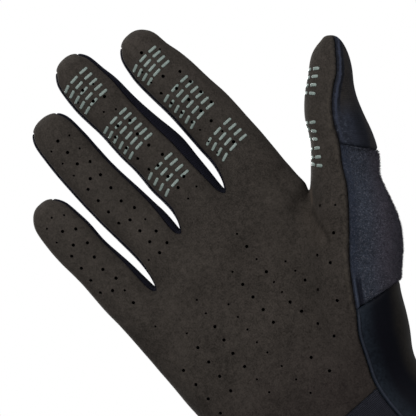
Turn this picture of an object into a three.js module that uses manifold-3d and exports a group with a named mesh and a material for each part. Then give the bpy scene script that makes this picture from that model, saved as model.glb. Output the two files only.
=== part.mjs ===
import * as THREE from "three";
import { mergeVertices } from "three/addons/utils/BufferGeometryUtils.js";
import Module from "manifold-3d";

// Full-finger cycling glove for the right hand, hollow, in the form that it has when worn.
// Millimetres. +Z runs from the cuff's mouth to the fingertips, the palm faces -Y and the thumb
// is on the +X side. The origin is the centre of the cuff's mouth, where the wrist goes in.
// One skin of four-sided faces gives the outer form. Its faces are sorted into the sewn pieces,
// and each piece is thickened inwards by its own cloth.

const wasm = await Module();
wasm.setup();

// Driving sizes
const CUFF_LENGTH = 41; // mouth to the heel seam
const CUFF_WIDTH = 69;
const CUFF_DEPTH = 43;
const PALM_LENGTH = 100; // heel seam to the highest gap between the fingers
const PALM_WIDTH = 96;
const PALM_DEPTH = 28;
const THUMB_LENGTH = 62.5; // from the thumb's gap to its tip
const THUMB_WIDTH = 29;
const THUMB_DEPTH = 25;
const THUMB_ANGLE = 35; // degrees from the fingers' direction
const WEB_RISE = 3.5; // the thumb's gap is higher in the middle of the cloth than at its front
const ROOT_INSET = 2.3; // the palm's columns end this far inside the outer fingers' sides
const SUEDE = 1.2;
const KNIT = 1.1;
const SATIN = 1.1;
const TERRY = 2.1;
const TERRY_PROUD = 0.9; // pile above the cloth round it
const SEAM_GAP = 0.3;
const GRIP_FILM = 0.3; // film that joins the printed bars of one group
const GRIP_BAR = { length: 4.1, width: 1.3, height: 0.5, row: 3.05 };
const GRIP_FALL = 1.4; // on a finger, how much lower a row of bars ends on the left
const GRIP_CLEAR = 0.35; // under the film, so that it stays clear of the cloth's flat faces
const HOLE = { across: 1.3, sides: 5 }; // air hole
const AIR_PITCH = { palm: 6.8, finger: 5 };
const SQUARE = { finger: 2.2, cuff: 2.15, palm: 2.5 }; // exponents of the sections, 2 is an ellipse

const CROTCH = CUFF_LENGTH + PALM_LENGTH;

// Cuff and palm, from the mouth up. up: heights as shares of the part's length, at the little
// finger's side (l), at the thumb's gap line (w), at the seam of the thumb (s) and at the thumb's
// outer side (e). grow: 0 follows the cuff's width and depth, 1 the palm's. left, web, seam, edge:
// the same four lines across. right: where the palm's own section ends, and lobe: where the
// thumb's begins. front, back, deep, lean: depths of the palm, then of the thumb's base.
const TRUNK = [
  { part: "cuff", up: { l: 0, w: 0, s: 0, e: 0 }, grow: 0,
    left: -0.514, web: 0.116, seam: 0.217, edge: 0.514, right: 0.514, lobe: 0,
    front: 0.523, back: 0.523, deep: 0.28, lean: 0 },
  { part: "cuff", up: { l: 0.22, w: 0.22, s: 0.22, e: 0.22 }, grow: 0,
    left: -0.5, web: 0.116, seam: 0.217, edge: 0.505, right: 0.505, lobe: 0,
    front: 0.5, back: 0.5, deep: 0.28, lean: 0 },
  { part: "cuff", up: { l: 0.6, w: 0.6, s: 0.6, e: 0.58 }, grow: 0,
    left: -0.486, web: 0.116, seam: 0.217, edge: 0.493, right: 0.493, lobe: 0,
    front: 0.488, back: 0.488, deep: 0.28, lean: 0 },
  { part: "palm", up: { l: 0, w: 0, s: 0, e: -0.02 }, grow: 0,
    left: -0.529, web: 0.13, seam: 0.23, edge: 0.519, right: 0.519, lobe: 0,
    front: 0.488, back: 0.465, deep: 0.326, lean: 0.047 },
  { part: "palm", up: { l: 0.11, w: 0.125, s: 0.115, e: 0.07 }, grow: 0.3,
    left: -0.54, web: 0.162, seam: 0.259, edge: 0.532, right: 0.493, lobe: 0.039,
    front: 0.532, back: 0.468, deep: 0.442, lean: 0.104 },
  { part: "palm", up: { l: 0.21, w: 0.235, s: 0.215, e: 0.16 }, grow: 0.6,
    left: -0.527, web: 0.188, seam: 0.284, edge: 0.54, right: 0.481, lobe: 0.082,
    front: 0.559, back: 0.485, deep: 0.544, lean: 0.162 },
  { part: "palm", up: { l: 0.315, w: 0.35, s: 0.297, e: 0.267 }, grow: 0.8,
    left: -0.519, web: 0.237, seam: 0.333, edge: 0.571, right: 0.486, lobe: 0.143,
    front: 0.548, back: 0.494, deep: 0.597, lean: 0.21 },
  { part: "palm", up: { l: 0.42, w: 0.48, s: 0.44, e: 0.36 }, grow: 1,
    left: -0.493, web: 0.307, seam: 0.409, edge: 0.628, right: 0.484, lobe: 0.219,
    front: 0.546, back: 0.511, deep: 0.643, lean: 0.25 },
  { part: "palm", up: { l: 0.53, w: 0.62, s: 0.555, e: 0.475 }, grow: 1,
    left: -0.492, web: 0.391, seam: 0.509, edge: 0.704, right: 0.5, lobe: 0.313,
    front: 0.511, back: 0.493, deep: 0.571, lean: 0.268 },
  { part: "palm", up: { l: 0.65, w: 0.755, s: 0.694, e: 0.6 }, grow: 1,
    left: -0.492, web: 0.479, seam: 0.625, edge: 0.741, right: 0.507, lobe: 0.49,
    front: 0.493, back: 0.475, deep: 0.475, lean: 0.268 },
];
const HEEL_ROW = TRUNK.findIndex((row) => row.part === "palm"); // the heel seam's row
const PATCH_ROW = HEEL_ROW + 3; // where the patch begins

// The palm above the thumb's gap, in the same shares
const KNUCKLES = [
  { up: { l: 0.705, w: 0.812 }, left: -0.492, web: 0.483, right: 0.508, front: 0.485, back: 0.468 },
  { up: { l: 0.76, w: 0.86 }, left: -0.492, web: 0.485, right: 0.508, front: 0.475, back: 0.461 },
  { up: { l: 0.84, w: 0.92 }, left: -0.493, web: 0.485, right: 0.507, front: 0.439, back: 0.436 },
];

// Heights of the gaps beside the fingers, from the little finger's outer side to the index's, as
// shares of the palm's length
const GAPS = [0.91, 0.89, 1, 1.005, 0.96];

// Soft dents and swells of the palm. x and z: place, rx and rz: reach, as shares of the palm's
// width and length. out: share of its depth, and below 0 for a dent.
const SWELLS = [
  { x: -0.3, z: 0.28, rx: 0.17, rz: 0.3, out: 0.12 },
  { x: 0.02, z: 0.56, rx: 0.17, rz: 0.2, out: -0.09 },
  { x: -0.38, z: 0.84, rx: 0.09, rz: 0.09, out: 0.05 },
  { x: -0.14, z: 0.86, rx: 0.09, rz: 0.09, out: 0.06 },
  { x: 0.11, z: 0.88, rx: 0.1, rz: 0.09, out: 0.06 },
  { x: 0.36, z: 0.86, rx: 0.1, rz: 0.1, out: 0.06 },
  { x: 0.43, z: 0.66, rx: 0.06, rz: 0.12, out: -0.1 },
];

// Fingers. x: place on the palm's width. curl: how far the tip leans to the palm's side. cap: share
// of the length that is the round tip, and power: how square that tip is. Sections: at is a share
// of the length, shift, wide and deep are shares of the width and depth, and seam is the share of
// the half width where the suede ends on the thumb's side.
const FINGERS = [
  { name: "pinky", x: -0.379, length: 56.5, width: 19.5, depth: 16.6, curl: 5.5, cap: 0.204,
    power: 2.05,
    sections: [
      { at: 0, shift: 0.01, wide: 1.13, deep: 1.2, seam: 0.7 },
      { at: 0.159, shift: -0.026, wide: 1.085, deep: 1.08, seam: 0.82 },
      { at: 0.336, shift: -0.056, wide: 1, deep: 1, seam: 0.9 },
      { at: 0.513, shift: -0.103, wide: 0.987, deep: 1, seam: 0.92 },
      { at: 0.655, shift: -0.113, wide: 1.005, deep: 0.96, seam: 0.92 },
      { at: 0.796, shift: -0.123, wide: 0.94, deep: 0.86, seam: 0.92 },
    ] },
  { name: "ring", x: -0.1435, length: 77.9, width: 21, depth: 18, curl: 7, cap: 0.166,
    power: 2.4,
    sections: [
      { at: 0, shift: 0, wide: 1.08, deep: 1.2, seam: 0.74 },
      { at: 0.121, shift: 0.03, wide: 1.035, deep: 1.1, seam: 0.76 },
      { at: 0.248, shift: 0, wide: 1.02, deep: 1.02, seam: 0.86 },
      { at: 0.376, shift: -0.045, wide: 1.02, deep: 1.02, seam: 0.91 },
      { at: 0.503, shift: -0.077, wide: 1, deep: 0.99, seam: 0.92 },
      { at: 0.631, shift: -0.097, wide: 0.989, deep: 0.95, seam: 0.92 },
      { at: 0.758, shift: -0.098, wide: 0.983, deep: 0.93, seam: 0.92 },
      { at: 0.834, shift: -0.098, wide: 0.95, deep: 0.86, seam: 0.92 },
    ] },
  { name: "middle", x: 0.112, length: 84.5, width: 22.5, depth: 19, curl: 7.5, cap: 0.15,
    power: 2.1,
    sections: [
      { at: 0, shift: -0.028, wide: 1.09, deep: 1.16, seam: 0.74 },
      { at: 0.104, shift: 0.01, wide: 1, deep: 1.08, seam: 0.72 },
      { at: 0.222, shift: 0.01, wide: 1.044, deep: 1.03, seam: 0.64 },
      { at: 0.34, shift: 0.015, wide: 1.055, deep: 1.03, seam: 0.61 },
      { at: 0.459, shift: -0.04, wide: 1.03, deep: 0.99, seam: 0.66 },
      { at: 0.577, shift: -0.077, wide: 0.975, deep: 0.94, seam: 0.73 },
      { at: 0.695, shift: -0.115, wide: 0.966, deep: 0.93, seam: 0.8 },
      { at: 0.773, shift: -0.139, wide: 0.956, deep: 0.91, seam: 0.86 },
      { at: 0.85, shift: -0.163, wide: 0.885, deep: 0.84, seam: 0.9 },
    ] },
  { name: "index", x: 0.378, length: 76.8, width: 23.2, depth: 19, curl: 6.5, cap: 0.162,
    power: 2.1,
    sections: [
      { at: 0, shift: -0.035, wide: 1.13, deep: 1.18, seam: 0.88 },
      { at: 0.139, shift: 0.022, wide: 1.03, deep: 1.09, seam: 0.9 },
      { at: 0.268, shift: 0.022, wide: 1.028, deep: 1.02, seam: 0.9 },
      { at: 0.398, shift: 0.022, wide: 1.02, deep: 1.02, seam: 0.9 },
      { at: 0.527, shift: -0.008, wide: 0.98, deep: 0.97, seam: 0.9 },
      { at: 0.657, shift: -0.051, wide: 0.98, deep: 0.94, seam: 0.9 },
      { at: 0.77, shift: -0.095, wide: 0.94, deep: 0.91, seam: 0.9 },
      { at: 0.838, shift: -0.118, wide: 0.86, deep: 0.84, seam: 0.9 },
    ] },
];
const LEFT_SEAM = 0.93; // share of the half width on a finger's other side
const DOME = [0.5, 0.82]; // rings of a round tip, as shares of its height
const SLOPE_END = 0.32; // share of a finger's length where its rings are level
const CURL_POWER = 1.7;
const TIP = { across: [0.27, 0.5, 0.73], drop: [0.12, 0, 0.12] }; // points along the top of a tip

// Thumb above its gap. Sections as for a finger, with its own width and depth. tilt: how much lower
// its outer side is, and lean: how far it stands forward, as shares of the width and depth. tip: how
// far its tip turns outwards, and tipSeam: how far its seam does. grip: share of its width where the
// bars are printed.
const THUMB = {
  cap: 0.24,
  power: 1.75,
  tip: 0.06,
  tipSeam: 0.25,
  grip: 0.85,
  sections: [
    { at: 0.142, shift: 0.01, wide: 0.925, deep: 0.99, tilt: 0.1, lean: 0.3, seam: -0.09 },
    { at: 0.28, shift: 0.036, wide: 0.93, deep: 0.95, tilt: 0.125, lean: 0.33, seam: -0.16 },
    { at: 0.41, shift: -0.017, wide: 0.9, deep: 0.89, tilt: 0.08, lean: 0.36, seam: -0.15 },
    { at: 0.55, shift: -0.073, wide: 0.78, deep: 0.82, tilt: 0.035, lean: 0.4, seam: -0.03 },
    { at: 0.67, shift: -0.077, wide: 0.68, deep: 0.75, tilt: 0, lean: 0.45, seam: 0.15 },
    { at: 0.76, shift: -0.051, wide: 0.615, deep: 0.67, tilt: 0, lean: 0.49, seam: 0.27 },
  ],
};
const PATCH_TOP = 2; // the patch ends at this thumb ring

// Columns round the skin. Trunk, as shares: from the thumb's gap line to its seam, from the seam to
// the outer side, then back again. Fingers and thumb, as angles from the front in degrees.
const TRUNK_COLUMNS = { inset: 0.047, seam: [1 / 3, 2 / 3, 1], edge: [0.5, 0.86], turn: 0.06,
  back: [0, 1 / 3, 2 / 3] };
const FINGER_BACK = [120, 150, 180, 210, 240];
const THUMB_COLUMNS = { inner: -70, suede: [0, 1 / 3, 2 / 3, 1], outer: [0.36, 0.7, 1], side: 90,
  back: [122, 154, 190, 228, 266] };
const LOBE_BLEND = 0.11; // rounding where the thumb's base meets the palm, as a share of its depth

// Printed grips. finger: its number in FINGERS, or none for the thumb. top: share of its length at
// the highest row. turns: angle of each column from the front, in degrees.
const GRIPS = [
  { name: "grip_middle_tip", finger: 2, top: 0.896, rows: 5, turns: [-46, -14, 18] },
  { name: "grip_middle_middle", finger: 2, top: 0.624, rows: 6, turns: [-47, -16, 15] },
  { name: "grip_middle_base", finger: 2, top: 0.317, rows: 4, turns: [-45, -16, 13] },
  { name: "grip_index_tip", finger: 3, top: 0.85, rows: 4, turns: [-42, -10, 22] },
  { name: "grip_index_middle", finger: 3, top: 0.631, rows: 6, turns: [-38, -9, 20] },
  { name: "grip_index_base", finger: 3, top: 0.307, rows: 4, turns: [-36, -9, 18] },
  { name: "grip_thumb_tip", top: 0.775, rows: 4, turns: [-72, -40] },
  { name: "grip_thumb_base", top: 0.438, rows: 6, turns: [-77, -52] },
];

// Air holes of the palm, in columns. x: share of its width, z: share of its length at the lowest
// hole.
const PALM_AIR = [
  { x: -0.417, z: 0.33, count: 3 },
  { x: -0.313, z: 0.38, count: 3 },
  { x: -0.198, z: 0.42, count: 4 },
  { x: -0.089, z: 0.25, count: 6 },
  { x: 0.016, z: 0.27, count: 7 },
  { x: 0.125, z: 0.275, count: 6 },
  { x: 0.229, z: 0.45, count: 3 },
  { x: 0.344, z: 0.51, count: 2 },
];
// Air holes of the fingers, in rows of two and one. at: share of the length at the lowest row.
const FINGER_AIR = [
  { finger: 0, at: 0.09, rows: 10 },
  { finger: 1, at: 0.18, rows: 11 },
  { finger: 2, at: 0.4, rows: 1 },
  { finger: 2, at: 0.69, rows: 2 },
  { finger: 3, at: 0.36, rows: 1 },
  { finger: 3, at: 0.69, rows: 2 },
];
const AIR_TURN = 28; // degrees from the front to the outer two holes of a row
const SLOPE_STEP = 0.004; // small, for the slopes along and round a form

const rad = THREE.MathUtils.degToRad;
const lerp = THREE.MathUtils.lerp;
const clamp = THREE.MathUtils.clamp;
const vec = (x, y, z) => new THREE.Vector3(x, y, z);
const skin = { points: [], quads: [] };

const addPoint = (point) => skin.points.push(point) - 1;

// Faces between two rings of the same length, the second further out. pieces gives each its piece.
function bridge(low, high, pieces) {
  low.forEach((a, i) => {
    const j = (i + 1) % low.length;
    skin.quads.push({ at: [a, low[j], high[j], high[i]], piece: pieces(i) });
  });
}

// Half a squared ellipse: its depth at a share of its half width, and below 0 past its end
function arch(share, depth, power) {
  const s = Math.abs(share);
  return s < 1 ? depth * (1 - s ** power) ** (1 / power) : -2 * depth * (s - 1);
}

const softMax = (a, b, blend) => (a + b + Math.hypot(a - b, blend)) / 2;

function swell(x, z) {
  return SWELLS.reduce((sum, s) => {
    const u = (x / PALM_WIDTH - s.x) / s.rx;
    const v = ((z - CUFF_LENGTH) / PALM_LENGTH - s.z) / s.rz;
    return sum + s.out * PALM_DEPTH * Math.exp(-u * u - v * v);
  }, 0);
}

// Front or back depth of a trunk row at x, from the palm's section and the thumb's
function trunkDepth(row, x, side) {
  const middle = (row.left + row.right) / 2;
  const palm = arch((x - middle) / (row.right - middle), row[side], row.square);
  if (row.lobe === undefined) return palm;
  const centre = (row.lobe + row.edge) / 2;
  const lean = side === "front" ? row.lean : -row.lean;
  const base = lean + arch((x - centre) / (row.edge - centre), row.deep, SQUARE.finger);
  return softMax(palm, base, PALM_DEPTH * LOBE_BLEND);
}

// A table row in millimetres
function sized(row) {
  const grow = row.grow ?? 1;
  const width = lerp(CUFF_WIDTH, PALM_WIDTH, grow);
  const depth = lerp(CUFF_DEPTH, PALM_DEPTH, grow);
  const height = (share) => {
    return row.part === "cuff" ? share * CUFF_LENGTH : CUFF_LENGTH + share * PALM_LENGTH;
  };
  const across = ["left", "web", "seam", "edge", "right", "lobe"];
  const result = { square: lerp(SQUARE.cuff, SQUARE.palm, grow) };
  result.up = Object.fromEntries(Object.entries(row.up).map(([k, v]) => [k, height(v)]));
  across.filter((k) => k in row).forEach((k) => (result[k] = row[k] * width));
  ["front", "back", "deep", "lean"].filter((k) => k in row).forEach((k) => {
    result[k] = row[k] * depth;
  });
  return result;
}

// Ring angles, from the front round over the thumb's side: five in front, one beside, five behind,
// one beside
function angles(seamLeft, seamRight) {
  const [a, b] = [-Math.asin(seamLeft), Math.asin(seamRight)];
  const behind = FINGER_BACK.map(rad);
  const front = [0, 1, 2, 3, 4].map((n) => lerp(a, b, n / 4));
  return [...front, (b + behind[0]) / 2, ...behind, (a - behind[0]) / 2];
}

function squared(value, power) {
  return Math.sign(value) * Math.abs(value) ** (2 / power);
}

// Value of a column at a share, between the two rows of a table that enclose it
function track(rows, column, at) {
  const n = rows.findIndex((row) => row.at >= at);
  if (n === 0) return rows[0][column];
  if (n < 0) return rows.at(-1)[column];
  const [a, b] = [rows[n - 1], rows[n]];
  return lerp(a[column], b[column], (at - a.at) / (b.at - a.at));
}

const domeShare = (past, power) => (1 - past ** power) ** (1 / power);

const gapHeights = GAPS.map((share) => CUFF_LENGTH + share * PALM_LENGTH);
const edges = (finger, side) => {
  const { shift, wide } = finger.sections[0];
  return finger.x * PALM_WIDTH + finger.width * (shift + (side * wide) / 2);
};

// Point of a finger's outer form at a share of its length and an angle from the front
function fingerPoint(finger, at, angle) {
  const n = FINGERS.indexOf(finger);
  const [low, high] = [gapHeights[n], gapHeights[n + 1]];
  const body = Math.min(at, 1 - finger.cap);
  const dome = domeShare((at - body) / finger.cap, finger.power);
  const level = 1 - clamp(at / SLOPE_END, 0, 1);
  const x = finger.x * PALM_WIDTH + track(finger.sections, "shift", body) * finger.width;
  const y = -finger.curl * at ** CURL_POWER;
  const half = (finger.width / 2) * track(finger.sections, "wide", body) * dome;
  const deep = (finger.depth / 2) * track(finger.sections, "deep", body) * dome;
  const s = squared(Math.sin(angle), SQUARE.finger);
  const z = (low + high) / 2 + finger.length * at + ((high - low) / 2) * s * level;
  return vec(x + half * s, y - deep * squared(Math.cos(angle), SQUARE.finger), z);
}

// The twelve points of a finger's ring
function fingerRing(finger, at) {
  const seam = track(finger.sections, "seam", Math.min(at, 1 - finger.cap));
  return angles(LEFT_SEAM, seam).map((a) => fingerPoint(finger, at, a));
}

// Closes a ring of twelve with eight faces. tips: the three points along its middle.
function capRing(ring, tips, front, back) {
  const middle = [ring[11], ...tips, ring[5]];
  for (let n = 0; n < 4; n++) {
    skin.quads.push({ at: [ring[n], ring[n + 1], middle[n + 1], middle[n]], piece: front(n) });
    skin.quads.push({ at: [middle[n], middle[n + 1], ring[9 - n], ring[10 - n]], piece: back(n) });
  }
}

// Three points along the top of a round tip, between the middles of the last ring's sides
function tipPoints(ring, height, axis) {
  const [a, b] = [skin.points[ring[11]], skin.points[ring[5]]];
  return TIP.across.map((s, n) => {
    return addPoint(a.clone().lerp(b, s).addScaledVector(axis, height * (1 - TIP.drop[n])));
  });
}

// Trunk rows up to the thumb's gap: 17 points in front, 9 round the thumb's side, 17 behind, 1 left
const FRONT = 4 * FINGERS.length + 1;
const rootX = [edges(FINGERS[0], -1) + ROOT_INSET];
FINGERS.slice(1).forEach((finger, n) => {
  rootX.push((edges(FINGERS[n], 1) + edges(finger, -1)) / 2);
});
rootX.push(edges(FINGERS[3], 1) - ROOT_INSET);
const spread = Array.from({ length: FRONT }, (_, c) => {
  const n = Math.min(Math.floor(c / 4), 3);
  const x = lerp(rootX[n], rootX[n + 1], (c - 4 * n) / 4);
  return (x - rootX[0]) / (rootX[4] - rootX[0]);
});

function palmPoints(row) {
  const inset = (row.right - row.left) * TRUNK_COLUMNS.inset;
  const place = (c, side) => {
    const x = lerp(row.left + inset, row.web, spread[c]);
    const z = lerp(row.up.l, row.up.w, spread[c] ** 2);
    const depth = trunkDepth(row, x, side);
    return side === "front" ? vec(x, -depth - swell(x, z), z) : vec(x, depth, z);
  };
  const columns = Array.from({ length: FRONT }, (_, c) => c);
  return {
    front: columns.map((c) => place(c, "front")),
    back: columns.map((c) => place(c, "back")).reverse(),
    left: vec(row.left, 0, row.up.l),
  };
}

function thumbSidePoints(row) {
  const heightAt = (x) => {
    if (x < row.seam) return lerp(row.up.w, row.up.s, (x - row.web) / (row.seam - row.web));
    return lerp(row.up.s, row.up.e, (x - row.seam) / (row.edge - row.seam));
  };
  const front = [
    ...TRUNK_COLUMNS.seam.map((s) => lerp(row.web, row.seam, s)),
    ...TRUNK_COLUMNS.edge.map((s) => lerp(row.seam, row.edge, s)),
  ];
  const turn = row.edge - (row.edge - row.lobe) * TRUNK_COLUMNS.turn;
  const back = TRUNK_COLUMNS.back.map((s) => lerp(turn, row.web, s));
  return [
    ...front.map((x) => vec(x, -trunkDepth(row, x, "front"), heightAt(x))),
    vec(row.edge, -row.lean, row.up.e),
    ...back.map((x) => {
      const share = (row.edge - x) / (row.edge - row.web);
      return vec(x, trunkDepth(row, x, "back"), lerp(row.up.e, row.up.w, share));
    }),
  ];
}

// Pieces of a trunk face by its column: suede in front, the thumb's side, then the back
function trunkPiece(row) {
  const side = row < PATCH_ROW ? "side_panel" : "terry_patch";
  const palm = row < HEEL_ROW ? "heel_panel" : "palm_panel";
  return (i) => {
    if (i < 19 || i === 43) return palm;
    return i < 24 ? side : "back_panel";
  };
}

const trunkRows = TRUNK.map(sized);
const rings = trunkRows.map((row) => {
  const { front, back, left } = palmPoints(row);
  return [...front, ...thumbSidePoints(row), ...back, left].map(addPoint);
});
rings.slice(1).forEach((ring, n) => bridge(rings[n], ring, trunkPiece(n)));

// The thumb's gap: its middle point joins the front and back of the last trunk row
const gapRow = trunkRows.at(-1);
const gapRing = rings.at(-1);
const web = addPoint(vec(gapRow.right, 0, gapRow.up.w + WEB_RISE));
const thumbBase = [...gapRing.slice(16, 27), web];
let palmRing = [...gapRing.slice(0, 17), web, ...gapRing.slice(26)];
const palmPiece = (i) => (i < 17 || i === 35 ? "palm_panel" : "back_panel");
KNUCKLES.map(sized).forEach((row) => {
  const { front, back, left } = palmPoints(row);
  const right = vec(row.right, 0, row.up.w);
  const ring = [...front, right, ...back, left].map(addPoint);
  bridge(palmRing, ring, palmPiece);
  palmRing = ring;
});

// Root line of the fingers. Neighbours share the three points of the gap between them.
const rootRings = FINGERS.map((finger) => fingerRing(finger, 0));
const shared = (n, right, left) => {
  return rootRings[n][right].clone().lerp(rootRings[n + 1][left], 0.5).setZ(gapHeights[n + 1]);
};
const gapPoints = FINGERS.slice(1).map((_, n) => {
  return [shared(n, 4, 0), shared(n, 5, 11), shared(n, 6, 10)].map(addPoint);
});
const rootIds = rootRings.map((ring, n) => ring.map((point, i) => {
  const onRight = i >= 4 && i <= 6;
  const onLeft = i === 0 || i >= 10;
  if (onRight && n < 3) return gapPoints[n][i - 4];
  if (onLeft && n > 0) return gapPoints[n - 1][i === 0 ? 0 : 12 - i];
  return addPoint(point);
}));
const rootFront = rootIds.flatMap((ids, n) => ids.slice(n ? 1 : 0, 5));
const rootBack = rootIds.flatMap((ids, n) => ids.slice(6, 11).reverse().slice(n ? 1 : 0)).reverse();
bridge(palmRing, [...rootFront, rootIds[3][5], ...rootBack, rootIds[0][11]], palmPiece);

// Fingers
const gussets = ["fourchette_pinky_ring", "fourchette_ring_middle", "fourchette_middle_index"];
FINGERS.forEach((finger, n) => {
  const pieceOf = (i) => {
    if (i < 4) return "palm_panel";
    if (i < 6) return gussets[n] ?? (i === 4 ? "palm_panel" : "back_panel");
    if (i < 10) return "back_panel";
    return gussets[n - 1] ?? (i === 11 ? "palm_panel" : "back_panel");
  };
  const dome = DOME.map((share) => 1 - finger.cap * (1 - share));
  let low = rootIds[n];
  [...finger.sections.slice(1).map((s) => s.at), ...dome].forEach((at) => {
    const ring = fingerRing(finger, at).map(addPoint);
    bridge(low, ring, pieceOf);
    low = ring;
  });
  const rise = finger.length * finger.cap * (1 - DOME[1]);
  capRing(low, tipPoints(low, rise, vec(0, 0, 1)), () => "palm_panel", () => "back_panel");
});

// Thumb
const thumbAxis = vec(Math.sin(rad(THUMB_ANGLE)), 0, Math.cos(rad(THUMB_ANGLE)));
const thumbAcross = vec(thumbAxis.z, 0, -thumbAxis.x);
const thumbStart = skin.points[web].clone().lerp(vec(gapRow.edge, 0, gapRow.up.e), 0.5).setY(0);

// Point of the thumb's outer form at a share of its length and an angle from the front
function thumbPoint(at, angle) {
  const body = Math.min(at, 1 - THUMB.cap);
  const dome = domeShare((at - body) / THUMB.cap, THUMB.power);
  const value = (column) => track(THUMB.sections, column, body);
  const half = (THUMB_WIDTH / 2) * value("wide") * dome;
  const deep = (THUMB_DEPTH / 2) * value("deep") * dome;
  const s = Math.sin(angle);
  const shift = value("shift") + THUMB.tip * ((at - body) / THUMB.cap) ** 2;
  return thumbStart.clone()
    .addScaledVector(thumbAxis, THUMB_LENGTH * at - value("tilt") * THUMB_WIDTH * s)
    .addScaledVector(thumbAcross, shift * THUMB_WIDTH + half * s)
    .setY(-value("lean") * THUMB_DEPTH - deep * Math.cos(angle));
}

// The twelve points of a thumb ring: suede from the inner side to the seam, then the other cloths
function thumbRing(at) {
  const body = Math.min(at, 1 - THUMB.cap);
  const turned = THUMB.tipSeam * ((at - body) / THUMB.cap) ** 2;
  const seam = Math.asin(track(THUMB.sections, "seam", body) + turned);
  const { inner, side } = THUMB_COLUMNS;
  const suede = THUMB_COLUMNS.suede.map((share) => lerp(rad(inner), seam, share));
  const outer = THUMB_COLUMNS.outer.map((share) => lerp(seam, rad(side), share));
  const behind = THUMB_COLUMNS.back.map(rad);
  return [...suede, ...outer, ...behind].map((a) => thumbPoint(at, a));
}

const thumbPiece = (ring) => (i) => {
  if (i < 3 || i === 11) return "palm_panel";
  return ring < PATCH_TOP && i < 8 ? "terry_patch" : "thumb_back";
};
const thumbAts = [...THUMB.sections.map((s) => s.at), ...DOME.map((s) => 1 - THUMB.cap * (1 - s))];
let thumbLow = thumbBase;
thumbAts.forEach((at, n) => {
  const ring = thumbRing(at).map(addPoint);
  bridge(thumbLow, ring, thumbPiece(n));
  thumbLow = ring;
});
capRing(thumbLow, tipPoints(thumbLow, THUMB_LENGTH * THUMB.cap * (1 - DOME[1]), thumbAxis),
  (n) => (n < 3 ? "palm_panel" : "thumb_back"), () => "thumb_back");

// Outward direction at each point of the skin, level at the mouth
function skinNormals() {
  const normals = skin.points.map(() => vec(0, 0, 0));
  skin.quads.forEach(({ at }) => {
    const [a, b, c, d] = at.map((i) => skin.points[i]);
    const n = c.clone().sub(a).cross(d.clone().sub(b));
    at.forEach((i) => normals[i].add(n));
  });
  rings[0].forEach((i) => normals[i].setZ(0));
  return normals.map((n) => n.normalize());
}
const normals = skinNormals();

// Edges round a piece, each in the sense that keeps the piece on its left
function rimOf(quads) {
  const seen = new Set();
  const all = quads.flatMap(({ at }) => at.map((a, n) => [a, at[(n + 1) % 4]]));
  all.forEach(([a, b]) => seen.add(`${a},${b}`));
  return all.filter(([a, b]) => !seen.has(`${b},${a}`));
}

// Steps the edge of a piece back from its seams by half the seam gap
function stepBack(quads) {
  const rim = rimOf(quads);
  const from = new Map(rim.map(([a, b]) => [b, a]));
  const steps = new Map();
  rim.forEach(([a, b]) => {
    const [p, q, r] = [from.get(a), a, b].map((i) => skin.points[i]);
    const inward = [[p, q], [q, r]].map(([s, e]) => {
      return normals[a].clone().cross(e.clone().sub(s)).normalize();
    });
    const open = Math.max(1 + inward[0].dot(inward[1]), 0.5);
    const step = inward[0].add(inward[1]).multiplyScalar(SEAM_GAP / 2 / open);
    steps.set(a, rings[0].includes(a) ? step.setZ(0) : step);
  });
  return { rim, steps };
}

// One sewn piece: its outer faces, the same faces a wall further in, and a rim between
function pieceGeometry(name, wall, proud = 0) {
  const quads = skin.quads.filter((quad) => quad.piece === name);
  const { rim, steps } = stepBack(quads);
  const ids = [...new Set(quads.flatMap((quad) => quad.at))];
  const index = new Map(ids.map((id, n) => [id, n]));
  const layer = (out) => ids.map((id) => {
    const point = skin.points[id].clone().addScaledVector(normals[id], out);
    return steps.has(id) ? point.add(steps.get(id)) : point;
  });
  const faces = [];
  const inner = ids.length;
  quads.forEach(({ at }) => {
    const [a, b, c, d] = at.map((id) => index.get(id));
    faces.push(a, b, c, a, c, d, inner + a, inner + c, inner + b, inner + a, inner + d, inner + c);
  });
  rim.forEach(([p, q]) => {
    const [a, b] = [index.get(p), index.get(q)];
    if (p < q) faces.push(b, a, inner + a, b, inner + a, inner + b);
    else faces.push(b, a, inner + b, a, inner + a, inner + b);
  });
  const points = [...layer(proud), ...layer(proud - wall)];
  return new THREE.BufferGeometry().setFromPoints(points).setIndex(faces);
}

// Direction out of a form at a place on it
function outward(form, at, turn) {
  const along = form(at + SLOPE_STEP, turn).sub(form(at - SLOPE_STEP, turn));
  const round = form(at, turn + SLOPE_STEP).sub(form(at, turn - SLOPE_STEP));
  return round.cross(along).normalize();
}

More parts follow.
